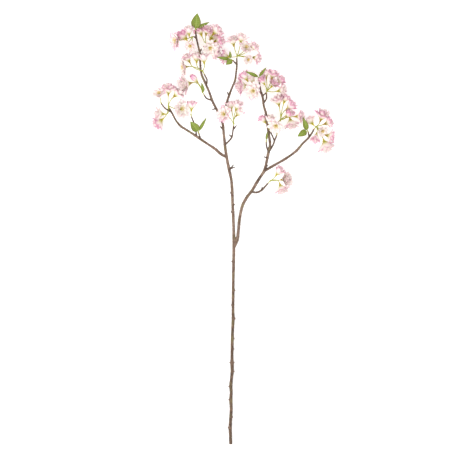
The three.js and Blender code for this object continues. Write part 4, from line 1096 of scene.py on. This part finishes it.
# %% Buds and half-open flowers
for name, cluster in UMBELS.items():
    closed = [flower for flower in cluster["blooms"] if flower[6] in CLOSED]
    if not closed:
        continue
    heap = Heap()
    for flower in closed:
        add_petals(heap, flower)
    make_piece(f"buds_{name}", heap, [petal_face, petal_back], [f"spray_{name}"])
print("closed flowers:", sum(flower[6] in CLOSED for flower in FLOWERS))

# %% [markdown]
# ## Leaves
#
# The leaves are just unfolding: still creased along the midrib, bronze along the margin and a clear
# light green inside. The margin has fine forward-pointing teeth. A leaf is one sheet of points whose
# half width is drawn in between the teeth, lifted along both edges, and sunk along its veins.

# %% One leaf
LEAF_SKIN = 0.35
LEAF_FOLD = 0.5
LEAF_SPREAD = 1.08  # teeth and fold take a little off the width again
LEAF_ARCH = 0.1
LEAF_ROWS, LEAF_COLUMNS = 61, 13
TOOTH_PITCH = 2.2  # millimetres between teeth, a little coarser than life so that they show
TOOTH_DEPTH = {"toothed": 0.07, "plain": 0.02}  # as a share of half the width
VEIN_PITCH = 5.5  # millimetres between side veins
VEIN_SLANT = 1.1  # veins that a side vein passes on its way to the margin
PETIOLE_STEPS = 6
PETIOLE_SIDES = 8


def add_leaf(heap, leaf, fork, dice):
    """A folded, toothed blade and the stalk that it stands on."""
    foot, end, width, margin = leaf
    width *= LEAF_SPREAD
    start = place(*foot)
    along = place(*end) - start
    length = along.length
    along.normalize()
    up = square_to(along, UP)
    right = along.cross(up)
    u, t = sheet_places(LEAF_ROWS, LEAF_COLUMNS)
    edge = np.abs(u)
    envelope = np.sin(math.pi * t ** 0.82) ** 0.8 * (1 - 0.25 * t) * 1.13
    teeth = max(6, round(length / TOOTH_PITCH))
    saw = 1 - TOOTH_DEPTH[margin] * edge ** 6 * (1 - (t * teeth) % 1)
    half = width / 2 * np.maximum(envelope * saw, 0.05)
    veins = max(4, round(length / VEIN_PITCH))
    rib_phase = t * veins - edge * VEIN_SLANT + 2
    groove = -0.12 * np.exp(-((rib_phase % 1 - 0.5) / 0.12) ** 2) * (1 - edge ** 2)
    groove = groove - 0.3 * np.exp(-(u / 0.09) ** 2)
    wave = 0.35 * np.sin(t * math.pi * 3 + dice.uniform(0, 6)) * edge ** 2 * np.sign(u) * width / 12
    lift = 4 * LEAF_ARCH * length * t * (1 - t) + edge ** 1.2 * half * LEAF_FOLD + groove + wave
    grid = (np.array(start) + (t * length)[:, :, None] * np.array(along)
            + (u * half)[:, :, None] * np.array(right) + lift[:, :, None] * np.array(up))
    add_blade(heap, grid, np.stack([u, t, rib_phase], axis=2).reshape(-1, 3), LEAF_SKIN, 0, 1)
    steps = [k / PETIOLE_STEPS for k in range(PETIOLE_STEPS + 1)]
    route = [place(*fork).lerp(start + along * 0.8, k) for k in steps]
    add_rings(heap, tube_rings(route, [0.62 + 0.16 * (1 - k) for k in steps], PETIOLE_SIDES, right), 0.5, 2)


# %% Leaf finishes
def leaf_finish(name, blade, deep, vein, bronze, roughness):
    """Thin waxy leaf: deeper patches, paler veins, and bronze that fades in from the margin."""
    material = new_finish(name, IOR=1.42, Roughness=roughness, Subsurface_Weight=0.2,
                          Subsurface_Scale=0.001, Subsurface_Radius=(0.5, 1.0, 0.2))
    axes = grown_axes(material)
    side = maths(material, "ABSOLUTE", axes["X"])
    from_rib = maths(material, "SUBTRACT", maths(material, "FRACT", axes["Z"]), 0.5)
    side_vein = ramp(material, maths(material, "ABSOLUTE", from_rib), 0.03, 0.12, 0.8, 0.0)
    any_vein = maths(material, "MAXIMUM", side_vein, ramp(material, side, 0.03, 0.12, 1.0, 0.0))
    patches = noise(material, 90.0, 3.0)
    ground = blend(material, ramp(material, patches, 0.45, 0.65), blade, deep)
    bronzed = ramp(material, maths(material, "MULTIPLY_ADD", patches, 0.9, side), 1.1, 1.55)
    paint(material, blend(material, bronzed, blend(material, any_vein, ground, vein), bronze))
    return material


leaf_top = leaf_finish("young cherry leaf, upper face", "#8f9f3e", "#66792e", "#a3b058", "#70592f", 0.42)
leaf_under = leaf_finish("young cherry leaf, underside", "#a2ac5c", "#84914a", "#b6be7c", "#866f42", 0.6)
for name, cluster in UMBELS.items():
    if not cluster["leaves"]:
        continue
    dice = random.Random("leaves " + name)
    heap = Heap()
    for leaf in cluster["leaves"]:
        add_leaf(heap, leaf, cluster["fork"], dice)
    make_piece(f"leaves_{name}", heap, [leaf_top, leaf_under, stalk_green], [f"spray_{name}"])
print("points on one leaf:", LEAF_ROWS * LEAF_COLUMNS * 2)

# %% [markdown]
# ## Studio
#
# The sprig lies on a sheet of white opal plastic that is faintly lit from below, under a broad soft
# light, and is seen from straight above through a long lens, which keeps the plan's proportions. The
# sheet is bright enough to read as plain white, and the low lamp to one side leaves just enough shadow
# to show that the stem touches it.

# %% Floor, light and camera
PICTURE_STEPS = 457  # steps of the plan across the picture
PICTURE_MIDDLE = (228.5, 228.5)
LENS = 180
SENSOR = 36
BLOSSOM_HEIGHT = 32  # millimetres above the floor, where the picture is as wide as the plan
FLOOR_SIZE = 14

opal_sheet = new_finish("white opal sheet, lit from below", IOR=1.49, Roughness=0.9,
                        Emission_Strength=0.35, Emission_Color=colour("#ffffff"))
paint(opal_sheet, blend(opal_sheet, noise(opal_sheet, 900.0, 2.0), "#fbfbfb", "#ffffff"))
bpy.ops.mesh.primitive_plane_add(size=FLOOR_SIZE, location=(0, 0, 0))
floor = bpy.context.object
floor.name = "floor"
floor.data.materials.append(opal_sheet)

world = bpy.data.worlds.new("studio")
world.use_nodes = True
world.node_tree.nodes["Background"].inputs["Color"].default_value = (1, 1, 1, 1)
world.node_tree.nodes["Background"].inputs["Strength"].default_value = 0.95
bpy.context.scene.world = world

lamp_data = bpy.data.lights.new("softbox", "AREA")
lamp_data.size = 1.6
lamp_data.energy = 30
softbox = bpy.data.objects.new("softbox", lamp_data)
softbox.location = (-1.3, -0.7, 2.4)
softbox.rotation_euler = (Vector((0, 0.1, 0)) - softbox.location).to_track_quat("-Z", "Y").to_euler()
bpy.context.scene.collection.objects.link(softbox)

camera_data = bpy.data.cameras.new("camera")
camera_data.lens = LENS
camera_data.sensor_width = SENSOR
camera_data.clip_end = 50
camera = bpy.data.objects.new("camera", camera_data)
aim = place(*PICTURE_MIDDLE, 0)
distance = PICTURE_STEPS * UNIT * MM * LENS / SENSOR
camera.location = (aim.x * MM, aim.y * MM, distance + BLOSSOM_HEIGHT * MM)
bpy.context.scene.collection.objects.link(camera)
bpy.context.scene.camera = camera
bpy.context.scene.view_settings.view_transform = "Standard"
print("camera", round(distance, 2), "m above the blossom")
